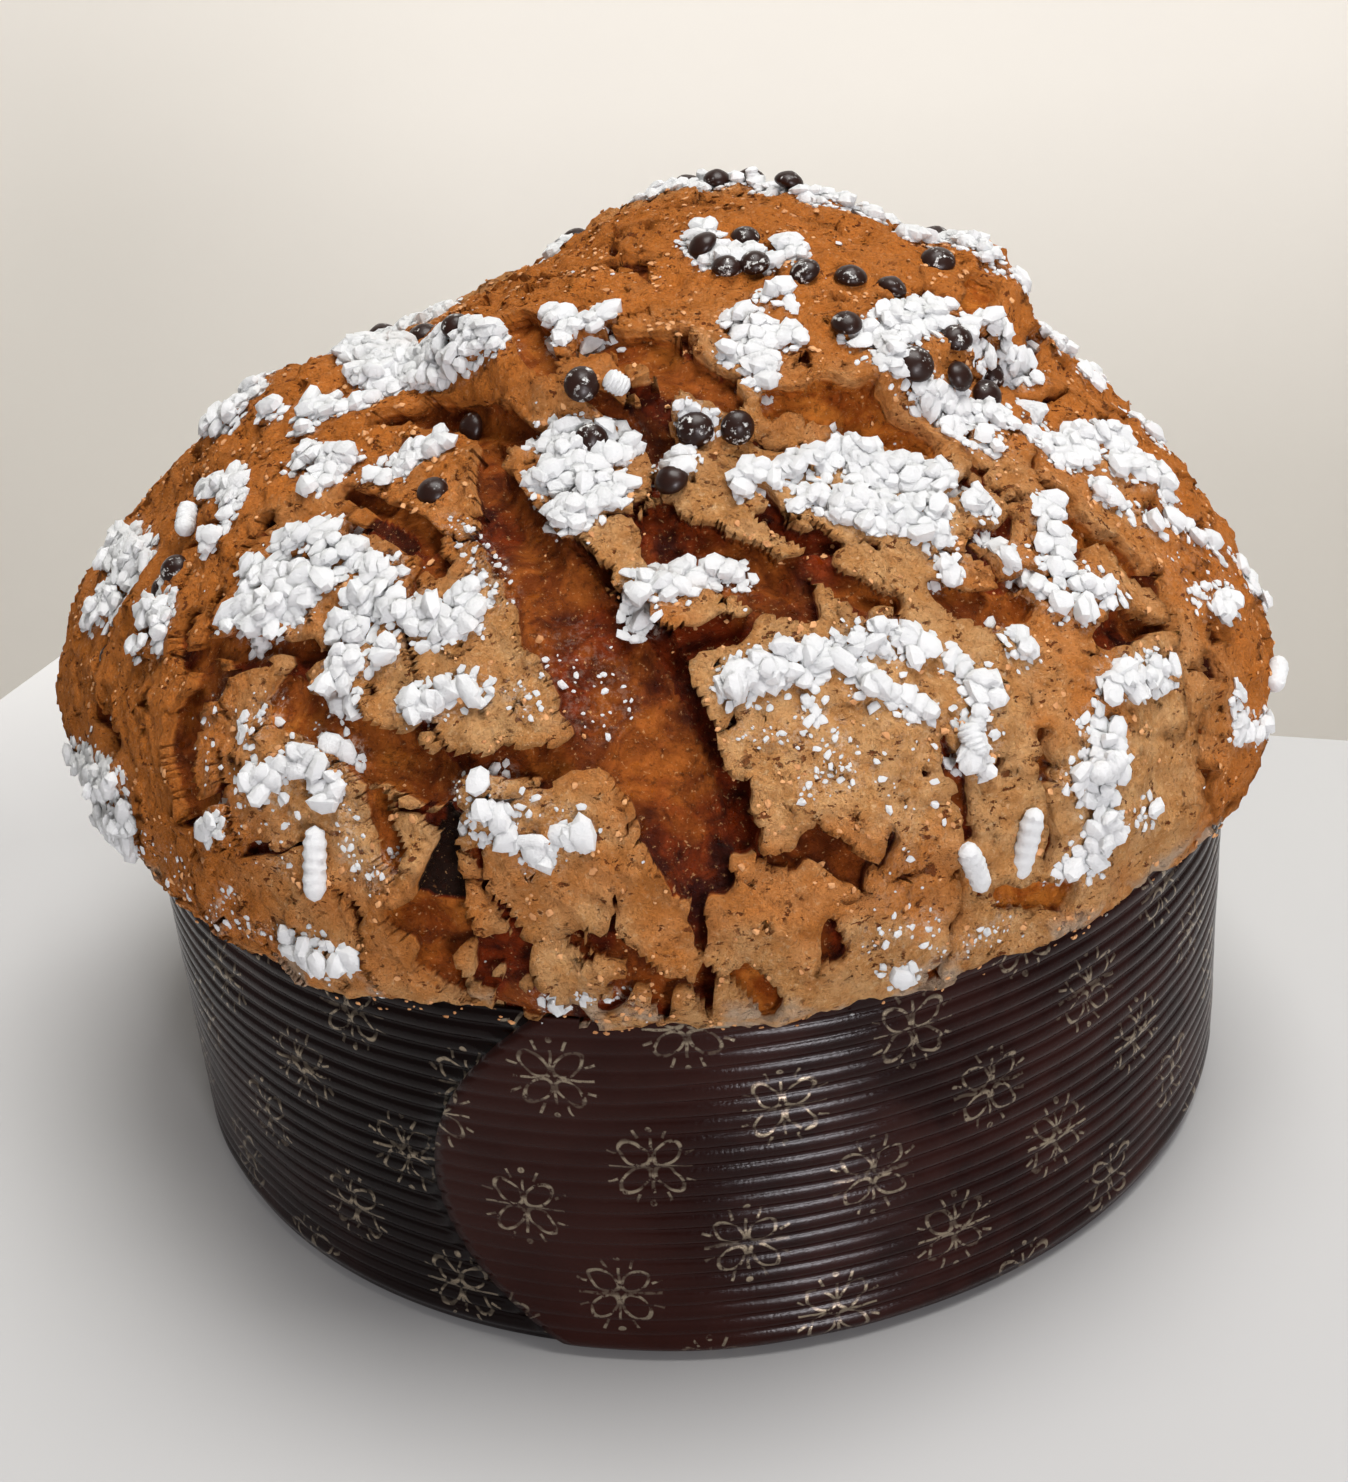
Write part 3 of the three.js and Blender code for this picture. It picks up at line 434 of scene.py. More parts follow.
# The bread with its glaze: a cube divided finely, rounded to directions and laid on the loaf's form
def makeCrust():
    deselectAll()
    bpy.ops.mesh.primitive_cube_add(size=2)
    piece = named("breadCrust")
    bpy.ops.object.mode_set(mode="EDIT")
    for cuts in loaf["cuts"]:
        bpy.ops.mesh.select_all(action="SELECT")
        bpy.ops.mesh.subdivide(number_cuts=cuts)
    bpy.ops.object.mode_set(mode="OBJECT")
    mesh = piece.data
    dirs = unit(np.tan(coordinates(mesh) * math.pi / 4))
    dirs = unit(dirs + loaf["frontPull"] * direction(0, 52))
    polar = np.degrees(np.arccos(np.clip(dirs[:, 2], -1, 1)))
    azimuth = np.degrees(np.arctan2(dirs[:, 0], -dirs[:, 1]))

    around = direction(azimuth, 90 + 0 * azimuth)
    girdle = around * ballRadius
    lip = loaf["lip"] + 0.9 * noiseOf(girdle, 16, 2.2, 2) + 0.8 * noiseOf(girdle, 4, 8.2)
    for at, width, drop in lipWander:
        lip += drop * np.exp(-((azimuth - at) / width) ** 2)
    under = np.clip((polar - lip) / loaf["underSpan"], 0, 1)
    dirs = direction(azimuth, np.minimum(polar, lip))

    # Vertices next to a torn edge move onto it, so that the glaze breaks off in a crisp wall
    edges = np.empty(len(mesh.edges) * 2, int)
    mesh.edges.foreach_get("vertices", edges)
    ragged = tearDistance(dirs)[0]
    slope, length = slopeOf(edges.reshape(-1, 2), dirs * ballRadius, ragged)
    steep = np.maximum(np.linalg.norm(slope, axis=1), 0.35)
    glazed = ragged > 0
    first, second = edges.reshape(-1, 2).T
    crossing = glazed[first] != glazed[second]
    near = np.zeros(len(dirs), bool)
    near[first[crossing]] = True
    near[second[crossing]] = True
    near &= under == 0
    # Glaze lips hang out over the crumb, and the crumb's edge lies back under them
    overhang = np.where(glazed, 0.28, -0.22)
    toEdge = np.clip(ragged / steep, -1.2 * length, 1.2 * length)
    shift = -(toEdge + overhang)[:, None] * slope / steep[:, None]
    moved = unit(dirs + near[:, None] * shift / ballRadius)
    missed = tearDistance(moved)[0] - np.where(glazed, -0.28, 0.22) * steep
    again = np.clip(missed / steep, -0.5, 0.5)
    moved = unit(moved - (near * again)[:, None] * slope / steep[:, None] / ballRadius)
    plate, bare, tone = crustLevels(dirs)[:3]
    level = np.where(glazed, plate, bare)
    points = moved * (breadRadius(moved) + level)[:, None]
    points[:, 2] += loaf["centre"]

    # Below the lip the skin turns in over the rim and goes down inside the case
    edgeReach = np.hypot(points[:, 0], points[:, 1])
    edgeHeight = points[:, 2]
    wall = loaf["wall"] + 0 * under
    overRim = loaf["rim"] + 0.1 + 0 * under
    stops = [0, 0.22, 0.4, 0.55, 1.0]
    reachStops = [edgeReach, np.maximum(95.8, edgeReach - 3), 95.5 + 0 * under, wall, wall - 0.2]
    bottom = loaf["floor"] + 0 * under
    heightStops = [edgeHeight, edgeHeight - 0.3, np.maximum(edgeHeight, overRim), overRim, bottom]
    reach = edgeReach.copy()
    height = edgeHeight.copy()
    for k in range(4):
        t = np.clip((under - stops[k]) / (stops[k + 1] - stops[k]), 0, 1)
        here = (under >= stops[k]) & (under <= stops[k + 1])
        reach[here] = (reachStops[k] + (reachStops[k + 1] - reachStops[k]) * t)[here]
        height[here] = (heightStops[k] + (heightStops[k + 1] - heightStops[k]) * t)[here]
    below = under > 0
    points[below] = np.stack([around[:, 0] * reach, around[:, 1] * reach, height], 1)[below]
    setCoordinates(mesh, points * mm)
    setAttribute(mesh, "cover", np.where(glazed, 1.0, 0.0))
    setAttribute(mesh, "edge", np.exp(-np.maximum(ragged, 0) / 1.3))
    setAttribute(mesh, "tone", tone)
    near, which = strokeField(dirs, crumbStrokes)
    beside = strokeField(dirs, patchStrokes)[0]
    dust = np.maximum(crumbShares[which] * smoothStep(1.8, -1.2, near), 0.5 * smoothStep(2.4, 0, beside))
    setAttribute(mesh, "dust", np.where(under > 0, 0, dust))

    # The lower half of the cube isn't needed: it goes, and one flat face closes the foot
    edit = bmesh.new()
    edit.from_mesh(mesh)
    edit.verts.ensure_lookup_table()
    spare = [v for v, value in zip(edit.verts, under) if value >= 1]
    far = [v for v in spare if all(under[e.other_vert(v).index] >= 1 for e in v.link_edges)]
    bmesh.ops.delete(edit, geom=far, context="VERTS")
    rim = [e for e in edit.edges if e.is_boundary]
    bmesh.ops.contextual_create(edit, geom=rim)
    bmesh.ops.recalc_face_normals(edit, faces=edit.faces)
    edit.to_mesh(mesh)
    edit.free()
    bpy.ops.object.shade_smooth()
    print("crust", len(mesh.polygons), "faces")
    return piece


# Takes the mesh of the active object as vertices and faces, and removes the object
def takeShape():
    ball = bpy.context.object
    verts = coordinates(ball.data)
    faces = [list(p.vertices) for p in ball.data.polygons]
    bpy.data.objects.remove(ball)
    return verts, faces


# Unit ball of 20 faces with an uneven skin
def roundLump(seed, unevenness):
    deselectAll()
    bpy.ops.mesh.primitive_ico_sphere_add(subdivisions=1, radius=1)
    verts, faces = takeShape()
    return verts * (1 + unevenness * noiseOf(verts, 0.9, seed * 3.7))[:, None], faces


# A ball of square faces, from a cube
def squareBall(cuts):
    deselectAll()
    bpy.ops.mesh.primitive_cube_add(size=2)
    bpy.ops.object.mode_set(mode="EDIT")
    bpy.ops.mesh.subdivide(number_cuts=cuts)
    bpy.ops.object.mode_set(mode="OBJECT")
    verts, faces = takeShape()
    return unit(np.tan(verts * math.pi / 4)), faces


# Chalky chunk: a ball cut flat by a few planes
def chunkLump(seed, rng):
    verts, faces = squareBall(1)
    sides = unit(rng.normal(0, 1, (9, 3)))
    cut = rng.uniform(0.56, 0.88, 9)
    reach = np.min(cut / np.maximum(verts @ sides.T, 0.05), 1)
    size = np.minimum(reach, 1.0) + 0.2 * noiseOf(verts, 0.45, seed * 5.3)
    return verts * size[:, None], faces


def turnTo(normal, spin):
    toNormal = Vector((0, 0, 1)).rotation_difference(Vector(normal)).to_matrix()
    return np.array(toNormal @ Matrix.Rotation(spin, 3, "Z"))


# One mesh from many copies: placed holds which shape, 3x3 turn with size, and place in mm
def joinLumps(name, shapes, placed):
    verts = []
    faces = []
    count = 0
    for which, turn, place in placed:
        shapeVerts, shapeFaces = shapes[which % len(shapes)]
        verts.append(shapeVerts @ turn.T + place)
        faces += [[corner + count for corner in face] for face in shapeFaces]
        count += len(shapeVerts)
    return meshPiece(name, np.concatenate(verts) * mm, faces)


# Even spiral of directions over the dome, about the spacing apart in mm, each then nudged a little
def spreadDirections(spacing, lowest, nudge, rng):
    spread = 1 - math.cos(math.radians(lowest))
    total = int(2 * math.pi * spread * ballRadius ** 2 / (0.866 * spacing ** 2))
    k = np.arange(total)
    polar = np.degrees(np.arccos(1 - spread * (k + 0.5) / total))
    dirs = direction((k * 137.50776) % 360, polar)
    return unit(dirs + rng.normal(0, nudge / ballRadius, dirs.shape))


# Layers of sugar: spacing, distance in from the patch's edge, lift and grain radius in mm
sugar = {
    "layers": [(2.3, 0.4, 0.5, 1.95), (3.2, 1.9, 1.5, 1.6)],
    "shapes": 12,
    "lowest": 96,
    "creaseDegrees": 38,
    "rodThick": 1.65,
    "rodHigh": 1.6,
    "rodLift": 1.4,
    "rodRings": 21,
}


# Distance in mm to the ragged border of the nearest sugar patch, below 0 inside it
def patchDistance(dirs):
    ragged = 2.0 * noiseOf(dirs * ballRadius, 5, 77.0) + 1.1 * noiseOf(dirs * ballRadius, 2.2, 83.0)
    return strokeField(dirs, patchStrokes)[0] + ragged


def chipDistance(dirs):
    return np.min(np.linalg.norm(dirs[:, None] - chipDirs[None], axis=2), 1) * ballRadius


def makeSugar():
    rng = np.random.default_rng(5)
    shapes = [chunkLump(seed, rng) for seed in range(sugar["shapes"])]
    placed = []
    for spacing, inset, lift, radius in sugar["layers"]:
        dirs = spreadDirections(spacing, sugar["lowest"], 0.4, rng)
        dirs = dirs[(patchDistance(dirs) < -inset) & (chipDistance(dirs) > 1.5 + 0.4 * radius)]
        points, normals = crustFrames(dirs)
        for point, normal in zip(points, normals):
            size = radius * rng.uniform(0.8, 1.2)
            longer = 1 + 0.5 * rng.random() ** 2
            flat = turnTo(unit(normal + rng.normal(0, 0.12, 3)), rng.uniform(0, 6.28))
            turn = flat @ np.diag([size * longer, size, size * rng.uniform(0.55, 0.8)])
            which = rng.integers(sugar["shapes"])
            placed.append((which, turn, point + normal * (lift + rng.uniform(0, 0.4))))
    print("sugar", len(placed), "grains")

    # Long grains: rods with a bumpy, ringed skin
    rod, rodFaces = squareBall(9)
    along = np.arcsin(np.clip(rod[:, 0], -1, 1)) / (math.pi / 2)
    girth = np.sqrt(1 - np.abs(along) ** 5) / np.maximum(np.cos(along * math.pi / 2), 0.03)
    rod[:, 0] = along * 3.5
    rings = 0.08 * np.sin(along * sugar["rodRings"] + 1.5 * noiseOf(rod, 1.0, 2.2))
    girth = girth * (1 + rings + 0.16 * noiseOf(rod, 0.6, 6.6, 2))
    rod = np.stack([along, rod[:, 1] * girth, rod[:, 2] * girth], 1)
    for a0, p0, a1, p1 in sugarSticks:
        ends, normals = crustFrames(direction(np.array([a0, a1], float), np.array([p0, p1], float)))
        half = (ends[1] - ends[0]) / 2
        across = unit(np.cross(normals.mean(0), half))
        rise = unit(np.cross(half, across))
        turn = np.stack([half * 1.05, across * sugar["rodThick"], rise * sugar["rodHigh"]], 1)
        placed.append((len(shapes), turn, ends.mean(0) + normals.mean(0) * sugar["rodLift"]))
    piece = joinLumps("pearlSugar", shapes + [(rod, rodFaces)], placed)
    bpy.ops.object.shade_smooth_by_angle(angle=math.radians(sugar["creaseDegrees"]))
    print("sugar", len(piece.data.polygons), "faces")
    return piece


crumbs = {
    "shapes": 7,
    "lowest": 96,
    "sugarSpacing": 0.85,
    "sugarSize": (0.16, 0.5),
    "footSpacing": 1.7,
    "footSize": (0.55, 1.0),
    "footBand": (-1.8, 0.9),
    "glazeSpacing": 1.2,
    "glazeLowest": 95,
    "glazeSize": (0.2, 0.35),
    "creaseDegrees": 32,
}


# Flattened crumbs that lie on the crust; lift is in crumb sizes
def scatterCrumbs(name, shapes, dirs, sizes, rng, lift):
    points, normals = crustFrames(dirs)
    placed = []
    for point, normal, size in zip(points, normals, sizes):
        turn = turnTo(normal, rng.uniform(0, 6.28)) @ np.diag([size * 1.4, size, size * 0.55])
        placed.append((rng.integers(99), turn, point + normal * size * lift))
    print(name, len(placed))
    piece = joinLumps(name, shapes, placed)
    bpy.ops.object.shade_smooth_by_angle(angle=math.radians(crumbs["creaseDegrees"]))
    return piece


def makeSugarCrumbs():
    rng = np.random.default_rng(11)
    shapes = [roundLump(seed, 1.1) for seed in range(crumbs["shapes"])]
    dirs = spreadDirections(crumbs["sugarSpacing"], crumbs["lowest"], 0.35, rng)
    near, which = strokeField(dirs, crumbStrokes)
    near = near + 2.4 * noiseOf(dirs * ballRadius, 3, 61.0, 2)
    share = 0.9 * crumbShares[which] * smoothStep(1.2, -1.2, near)
    beside = strokeField(dirs, patchStrokes)[0]
    share = np.maximum(share, 0.22 * smoothStep(2.6, 0, beside + 2.0 * noiseOf(dirs * ballRadius, 6, 67.0)))
    share = np.maximum(share, 0.0015)
    loose = dirs[rng.random(len(dirs)) < share]
    # Small grains at the foot of every clump
    foot = spreadDirections(crumbs["footSpacing"], crumbs["lowest"], 0.4, rng)
    border = patchDistance(foot)
    inner, outer = crumbs["footBand"]
    foot = foot[(border > inner) & (border < outer) & (chipDistance(foot) > 2)]
    least, spread = crumbs["sugarSize"]
    looseSizes = least + spread * rng.random(len(loose)) ** 2.5
    sizes = np.append(looseSizes, rng.uniform(*crumbs["footSize"], len(foot)))
    return scatterCrumbs("sugarCrumbs", shapes, np.concatenate([loose, foot]), sizes, rng, 0.2)


# Baked crumbs of glaze along the torn edges
def makeGlazeCrumbs():
    rng = np.random.default_rng(23)
    shapes = [roundLump(seed + 9, 0.8) for seed in range(crumbs["shapes"])]
    dirs = spreadDirections(crumbs["glazeSpacing"], crumbs["glazeLowest"], 0.4, rng)
    ragged = tearDistance(dirs)[0]
    crumbly = smoothStep(-0.2, 0.3, noiseOf(dirs * ballRadius, 8, 91.0))
    share = 0.35 * np.exp(-((ragged - 0.4) / 0.9) ** 2) * crumbly
    dirs = dirs[rng.random(len(dirs)) < share + 0.002]
    least, spread = crumbs["glazeSize"]
    sizes = least + spread * rng.random(len(dirs)) ** 2.5
    return scatterCrumbs("glazeCrumbs", shapes, dirs, sizes, rng, 0.1)


chip = {"radius": 2.7, "height": 1.8, "onGlaze": 0.3, "onSugar": 1.3}


# Each chip is a low drop with a flat foot, half sunk in the glaze
def makeChips():
    rng = np.random.default_rng(3)
    deselectAll()
    bpy.ops.mesh.primitive_uv_sphere_add(segments=20, ring_count=12, radius=1)
    verts, faces = takeShape()
    peak = 1 + 0.12 * np.exp(-(np.hypot(verts[:, 0], verts[:, 1]) / 0.35) ** 2)
    verts[:, 2] = np.where(verts[:, 2] > 0, verts[:, 2] * peak, verts[:, 2] * 0.6)
    points, normals = crustFrames(chipDirs)
    inSugar = strokeField(chipDirs, patchStrokes)[0] < 1.0
    placed = []
    for point, normal, sugared in zip(points, normals, inSugar):
        turn = turnTo(unit(normal + rng.normal(0, 0.2, 3)), rng.uniform(0, 6.28))
        size = chip["radius"] * rng.uniform(0.9, 1.1)
        turn = turn @ np.diag([size, size * rng.uniform(0.92, 1), chip["height"]])
        lift = chip["onSugar"] if sugared else chip["onGlaze"]
        placed.append((0, turn, point + normal * lift))
    piece = joinLumps("chocolateChips", [(verts, faces)], placed)
    print("chips", len(chips))
    return piece


case = {
    "radius": 95.0,
    "height": 66.0,
    "bore": 94.0,
    "foot": 91.5,
    "base": 1.0,
    "ribPitch": 3.0,
    "ribDepth": 0.6,
    "ribs": 21,
    "ribSteps": 8,
    "firstRib": 2.4,
    "columns": 288,
    "flapLift": 1.3,
    "flapReach": 60,
    "flapSmooth": 26,
}


def overlapAzimuth(z):
    t = z / case["height"] * 2 - 1
    return -27 + 12.5 * t * t


# Corrugated wall, bore and base: one profile spun round, then the overlap is pushed out
def makeCase():
    profile = [(0, 0), (60, 0), (case["foot"] - 1.2, 0), (case["foot"], 0.15)]
    profile += [(93.2, 0.6), (94.0, 1.2), (94.2, 1.8)]
    for k in range(case["ribs"] * case["ribSteps"] + 1):
        z = case["firstRib"] + case["ribPitch"] * k / case["ribSteps"]
        across = (k / case["ribSteps"]) % 1 * 2 - 1
        profile.append((case["radius"] - case["ribDepth"] * abs(across) ** 2.2, z))
    profile += [(94.8, 65.7), (94.6, case["height"]), (94.2, 65.95), (case["bore"], 65.7), (case["bore"], 30)]
    profile += [(case["bore"], 3.6), (93.2, 1.8), (case["foot"], case["base"])]
    profile += [(60, case["base"]), (0, case["base"])]
    verts = [(0, -r * mm, z * mm) for r, z in profile]
    piece = meshPiece("paperCase", verts, [], [(i, i + 1) for i in range(len(verts) - 1)])
    mesh = piece.data
    bpy.ops.object.mode_set(mode="EDIT")
    bpy.ops.mesh.select_all(action="SELECT")
    bpy.ops.mesh.spin(steps=case["columns"], angle=2 * math.pi, center=(0, 0, 0), axis=(0, 0, 1))
    bpy.ops.mesh.select_all(action="SELECT")
    bpy.ops.mesh.remove_doubles(threshold=0.00002)
    bpy.ops.mesh.normals_make_consistent(inside=False)
    bpy.ops.object.mode_set(mode="OBJECT")

    co = coordinates(mesh) / mm
    z = co[:, 2]
    reach = np.hypot(co[:, 0], co[:, 1])
    turned = np.degrees(np.arctan2(co[:, 0], -co[:, 1])) % 360
    step = 360 / case["columns"]
    outer = reach > case["bore"] + 0.05
    snapped = np.where(turned < step * 0.5, 0.1, np.where(turned > 360 - step * 1.5, 359.9, turned))
    offset = np.where(outer, snapped, turned)
    angle = np.radians(overlapAzimuth(z) + offset)
    wallPart = outer * smoothStep(0.4, 2.4, z)
    lift = case["flapLift"] * (1 - smoothStep(0, case["flapReach"], offset)) * wallPart
    wander = 0.3 * noiseOf(np.stack([95 * np.sin(angle), -95 * np.cos(angle), z * 1.5], 1), 20, 4.4, 2)
    # Under the glue the flap's ribs are pressed flat
    pressed = (1 - smoothStep(case["flapSmooth"] * 0.5, case["flapSmooth"], offset)) * wallPart
    crest = case["radius"] - 0.25 * case["ribDepth"]
    reach = reach + 0.6 * pressed * (crest - reach) + lift + np.minimum(wander, 0.3) * wallPart
    setCoordinates(mesh, np.stack([reach * np.sin(angle), -reach * np.cos(angle), z], 1) * mm)
    setAttribute(mesh, "overlap", offset)
    bpy.ops.object.shade_smooth()
    print("case", len(mesh.polygons), "faces")
    return piece


def newMaterial(name):
    material = bpy.data.materials.new(name)
    material.use_nodes = True
    tree = material.node_tree
    spot = tree.nodes.new("ShaderNodeTexCoord").outputs["Object"]
    return material, tree, tree.nodes["Principled BSDF"], spot


# Adds a node; each value goes to the socket or the setting of that name
def add(tree, kind, **values):
    node = tree.nodes.new("ShaderNode" + kind)
    for key, value in values.items():
        label = key.replace("_", " ")
        if hasattr(node, key):
            setattr(node, key, value)
        elif isinstance(value, bpy.types.NodeSocket):
            tree.links.new(value, node.inputs[label])
        else:
            node.inputs[label].default_value = value
    return node


def math2(tree, operation, first, second=0.0, third=0.0, clamp=False):
    node = tree.nodes.new("ShaderNodeMath")
    node.operation = operation
    node.use_clamp = clamp
    for socket, value in zip(node.inputs, (first, second, third)):
        if isinstance(value, bpy.types.NodeSocket):
            tree.links.new(value, socket)
        else:
            socket.default_value = value
    return node.outputs[0]


def times(tree, first, second):
    return math2(tree, "MULTIPLY", first, second)


def plus(tree, first, second, clamp=False):
    return math2(tree, "ADD", first, second, clamp=clamp)


def minus(tree, first, second):
    return math2(tree, "SUBTRACT", first, second)


# A value kept on the vertices
def painted(tree, name):
    return add(tree, "Attribute", attribute_name=name).outputs["Fac"]


def mixColor(tree, factor, first, second):
    node = tree.nodes.new("ShaderNodeMix")
    node.data_type = "RGBA"
    for socket, value in ((node.inputs[0], factor), (node.inputs[6], first), (node.inputs[7], second)):
        if isinstance(value, bpy.types.NodeSocket):
            tree.links.new(value, socket)
        elif isinstance(value, (tuple, list)):
            socket.default_value = (*value, 1)
        else:
            socket.default_value = value
    return node.outputs[2]


def ramp(tree, value, low, high):
    node = add(tree, "MapRange", Value=value, From_Min=low, From_Max=high)
    node.interpolation_type = "SMOOTHSTEP"
    return node.outputs[0]


def noiseAt(tree, vector, sizeMm, detail=2.0, roughness=0.5, distortion=0.0):
    node = add(tree, "TexNoise", Vector=vector, Scale=1000 / sizeMm, Detail=detail, Roughness=roughness,
               Distortion=distortion)
    return node.outputs[0]


# Blotches, specks and dust of any size: one group, with each material's own values
def makeMottleGroup():
    group = bpy.data.node_groups.new("mottle", "ShaderNodeTree")
    group.interface.new_socket("Place", in_out="INPUT", socket_type="NodeSocketVector")
    for name in ("Scale", "Detail", "Roughness", "Low", "High"):
        group.interface.new_socket(name, in_out="INPUT", socket_type="NodeSocketFloat")
    group.interface.new_socket("Mask", in_out="OUTPUT", socket_type="NodeSocketFloat")
    given = group.nodes.new("NodeGroupInput").outputs
    noise = add(group, "TexNoise", Vector=given["Place"], Scale=given["Scale"], Detail=given["Detail"],
                Roughness=given["Roughness"])
    mask = ramp(group, noise.outputs[0], given["Low"], given["High"])
    group.links.new(mask, group.nodes.new("NodeGroupOutput").inputs["Mask"])
    return group


mottleGroup = makeMottleGroup()


def mottle(tree, place, sizeMm, low, high, detail=2.0, roughness=0.5):
    node = tree.nodes.new("ShaderNodeGroup")
    node.node_tree = mottleGroup
    values = (place, 1000 / sizeMm, detail, roughness, low, high)
    for name, value in zip(("Place", "Scale", "Detail", "Roughness", "Low", "High"), values):
        if name == "Place":
            tree.links.new(value, node.inputs[name])
        else:
            node.inputs[name].default_value = value
    return node.outputs["Mask"]


def bumped(tree, height, distanceMm, normal=None, strength=1.0):
    node = tree.nodes.new("ShaderNodeBump")
    tree.links.new(height, node.inputs["Height"])
    node.inputs["Distance"].default_value = distanceMm * mm
    node.inputs["Strength"].default_value = strength
    if normal is not None:
        tree.links.new(normal, node.inputs["Normal"])
    return node.outputs[0]


def crustMaterial():
    material, tree, shader, spot = newMaterial("bakedGlaze")
    glazed = ramp(tree, painted(tree, "cover"), 0.25, 0.6)
    edge = painted(tree, "edge")
    tone = painted(tree, "tone")

    # Matt almond glaze: light tan with pale grains, dark pores and toasted patches
    broad = noiseAt(tree, spot, 26, 3, 0.55)
    fine = noiseAt(tree, spot, 0.9, 5, 0.7)
    tan = mixColor(tree, mottle(tree, spot, 5, 0.35, 0.65, 4, 0.6), (0.68, 0.315, 0.100), (0.84, 0.46, 0.190))
    # The front took the least heat: towards the sides and the crown the glaze turns orange brown
    split = tree.nodes.new("ShaderNodeSeparateXYZ")
    tree.links.new(spot, split.inputs[0])
    fromMiddle = math2(tree, "ABSOLUTE", minus(tree, split.outputs[0], 0.022))
    back = plus(tree, split.outputs[1], times(tree, fromMiddle, 0.55))
    back = plus(tree, back, times(tree, minus(tree, broad, 0.5), 0.12))
    sides = times(tree, ramp(tree, back, -0.060, 0.0), 0.85)
    # Behind the crown the toasting is uneven again
    spared = mottle(tree, spot, 30, 0.44, 0.58, 3)
    spared = times(tree, spared, ramp(tree, split.outputs[1], 0.015, 0.045))
    sides = times(tree, sides, math2(tree, "MULTIPLY_ADD", spared, -0.65, 1.0))
    toasted = math2(tree, "MAXIMUM", times(tree, ramp(tree, broad, 0.47, 0.62), 0.6), sides)
    tan = mixColor(tree, toasted, tan, (0.66, 0.180, 0.014))
    grains = math2(tree, "MULTIPLY_ADD", toasted, -0.6, 0.75)
    tan = mixColor(tree, times(tree, ramp(tree, fine, 0.54, 0.68), grains), tan, (0.93, 0.60, 0.31))
    tan = mixColor(tree, times(tree, ramp(tree, fine, 0.46, 0.32), 0.6), tan, (0.28, 0.09, 0.02))
    crumbly = mottle(tree, spot, 4.2, 0.44, 0.58, 2)
    wavy = add(tree, "Mapping", Vector=spot, Scale=(1.0, 1.0, 1.7)).outputs[0]
    pores = times(tree, mottle(tree, wavy, 1.5, 0.40, 0.35, 3, 0.6), crumbly)
    deepPores = times(tree, mottle(tree, wavy, 3.4, 0.38, 0.35, 4, 0.65), crumbly)
    pores = math2(tree, "MAXIMUM", pores, deepPores)
    tan = mixColor(tree, times(tree, pores, 0.9), tan, (0.13, 0.022, 0.003))
    tan = mixColor(tree, times(tree, edge, 0.35), tan, (0.34, 0.11, 0.025))
    # Along the rim a thin film of sugar has dried pale
    film = mottle(tree, spot, 11, 0.47, 0.56, 3)
    film = times(tree, ramp(tree, split.outputs[2], 0.0735, 0.0700), film)
    tan = mixColor(tree, times(tree, film, 0.75), tan, (0.66, 0.50, 0.36))

    # Satin baked crumb where the glaze has torn: dark red brown with amber places
    pull = noiseAt(tree, spot, 7, 5, 0.62, 1.0)
    amber = mottle(tree, spot, 13, 0.42, 0.6, 3)
    flecksAndSparkle = noiseAt(tree, spot, 1.3, 4, 0.65)
    dark = mixColor(tree, ramp(tree, pull, 0.34, 0.66), (0.026, 0.0020, 0.0004), (0.20, 0.025, 0.002))
    golden = mixColor(tree, ramp(tree, pull, 0.34, 0.66), (0.36, 0.072, 0.005), (0.68, 0.23, 0.032))
    warm = plus(tree, tone, times(tree, minus(tree, amber, 0.5), 0.35), clamp=True)
    bare = mixColor(tree, warm, dark, golden)
    bare = mixColor(tree, ramp(tree, tone, -0.1, -0.8), bare, (0.014, 0.0045, 0.002))
    # Pale flecks are painted sparkle, small painted highlights on the crumb; dark flecks are darker specks of
    # crumb
    bare = mixColor(tree, times(tree, ramp(tree, flecksAndSparkle, 0.62, 0.72), 0.3), bare, (0.50, 0.22, 0.08))
    bare = mixColor(tree, times(tree, ramp(tree, flecksAndSparkle, 0.44, 0.34), 0.5), bare, (0.03, 0.005, 0.001))
    # Painted glints: tiny pale spots in the colour stand in for sparkling highlights
    paintedGlints = times(tree, mottle(tree, spot, 0.6, 0.62, 0.70, 3, 0.6), 0.45)
    bare = mixColor(tree, paintedGlints, bare, (0.82, 0.46, 0.20))

    colour = mixColor(tree, glazed, bare, tan)
    # Fine sugar dust where crumbs of sugar lie
    dust = painted(tree, "dust")
    speckle = mottle(tree, spot, 1.1, 0.50, 0.60, 5, 0.75)
    colour = mixColor(tree, times(tree, times(tree, dust, speckle), 0.75), colour, (0.93, 0.80, 0.66))
    tree.links.new(colour, shader.inputs["Base Color"])
    wet = mottle(tree, spot, 2.2, 0.58, 0.70, 3, 0.6)
    satin = minus(tree, 0.52, times(tree, wet, 0.32))
    roughness = plus(tree, satin, times(tree, glazed, 0.3), clamp=True)
    tree.links.new(roughness, shader.inputs["Roughness"])
    shader.inputs["Specular IOR Level"].default_value = 0.12
    shader.inputs["Subsurface Weight"].default_value = 0.05
    shader.inputs["Subsurface Radius"].default_value = (0.004, 0.002, 0.001)
    shader.inputs["Subsurface Scale"].default_value = 0.4

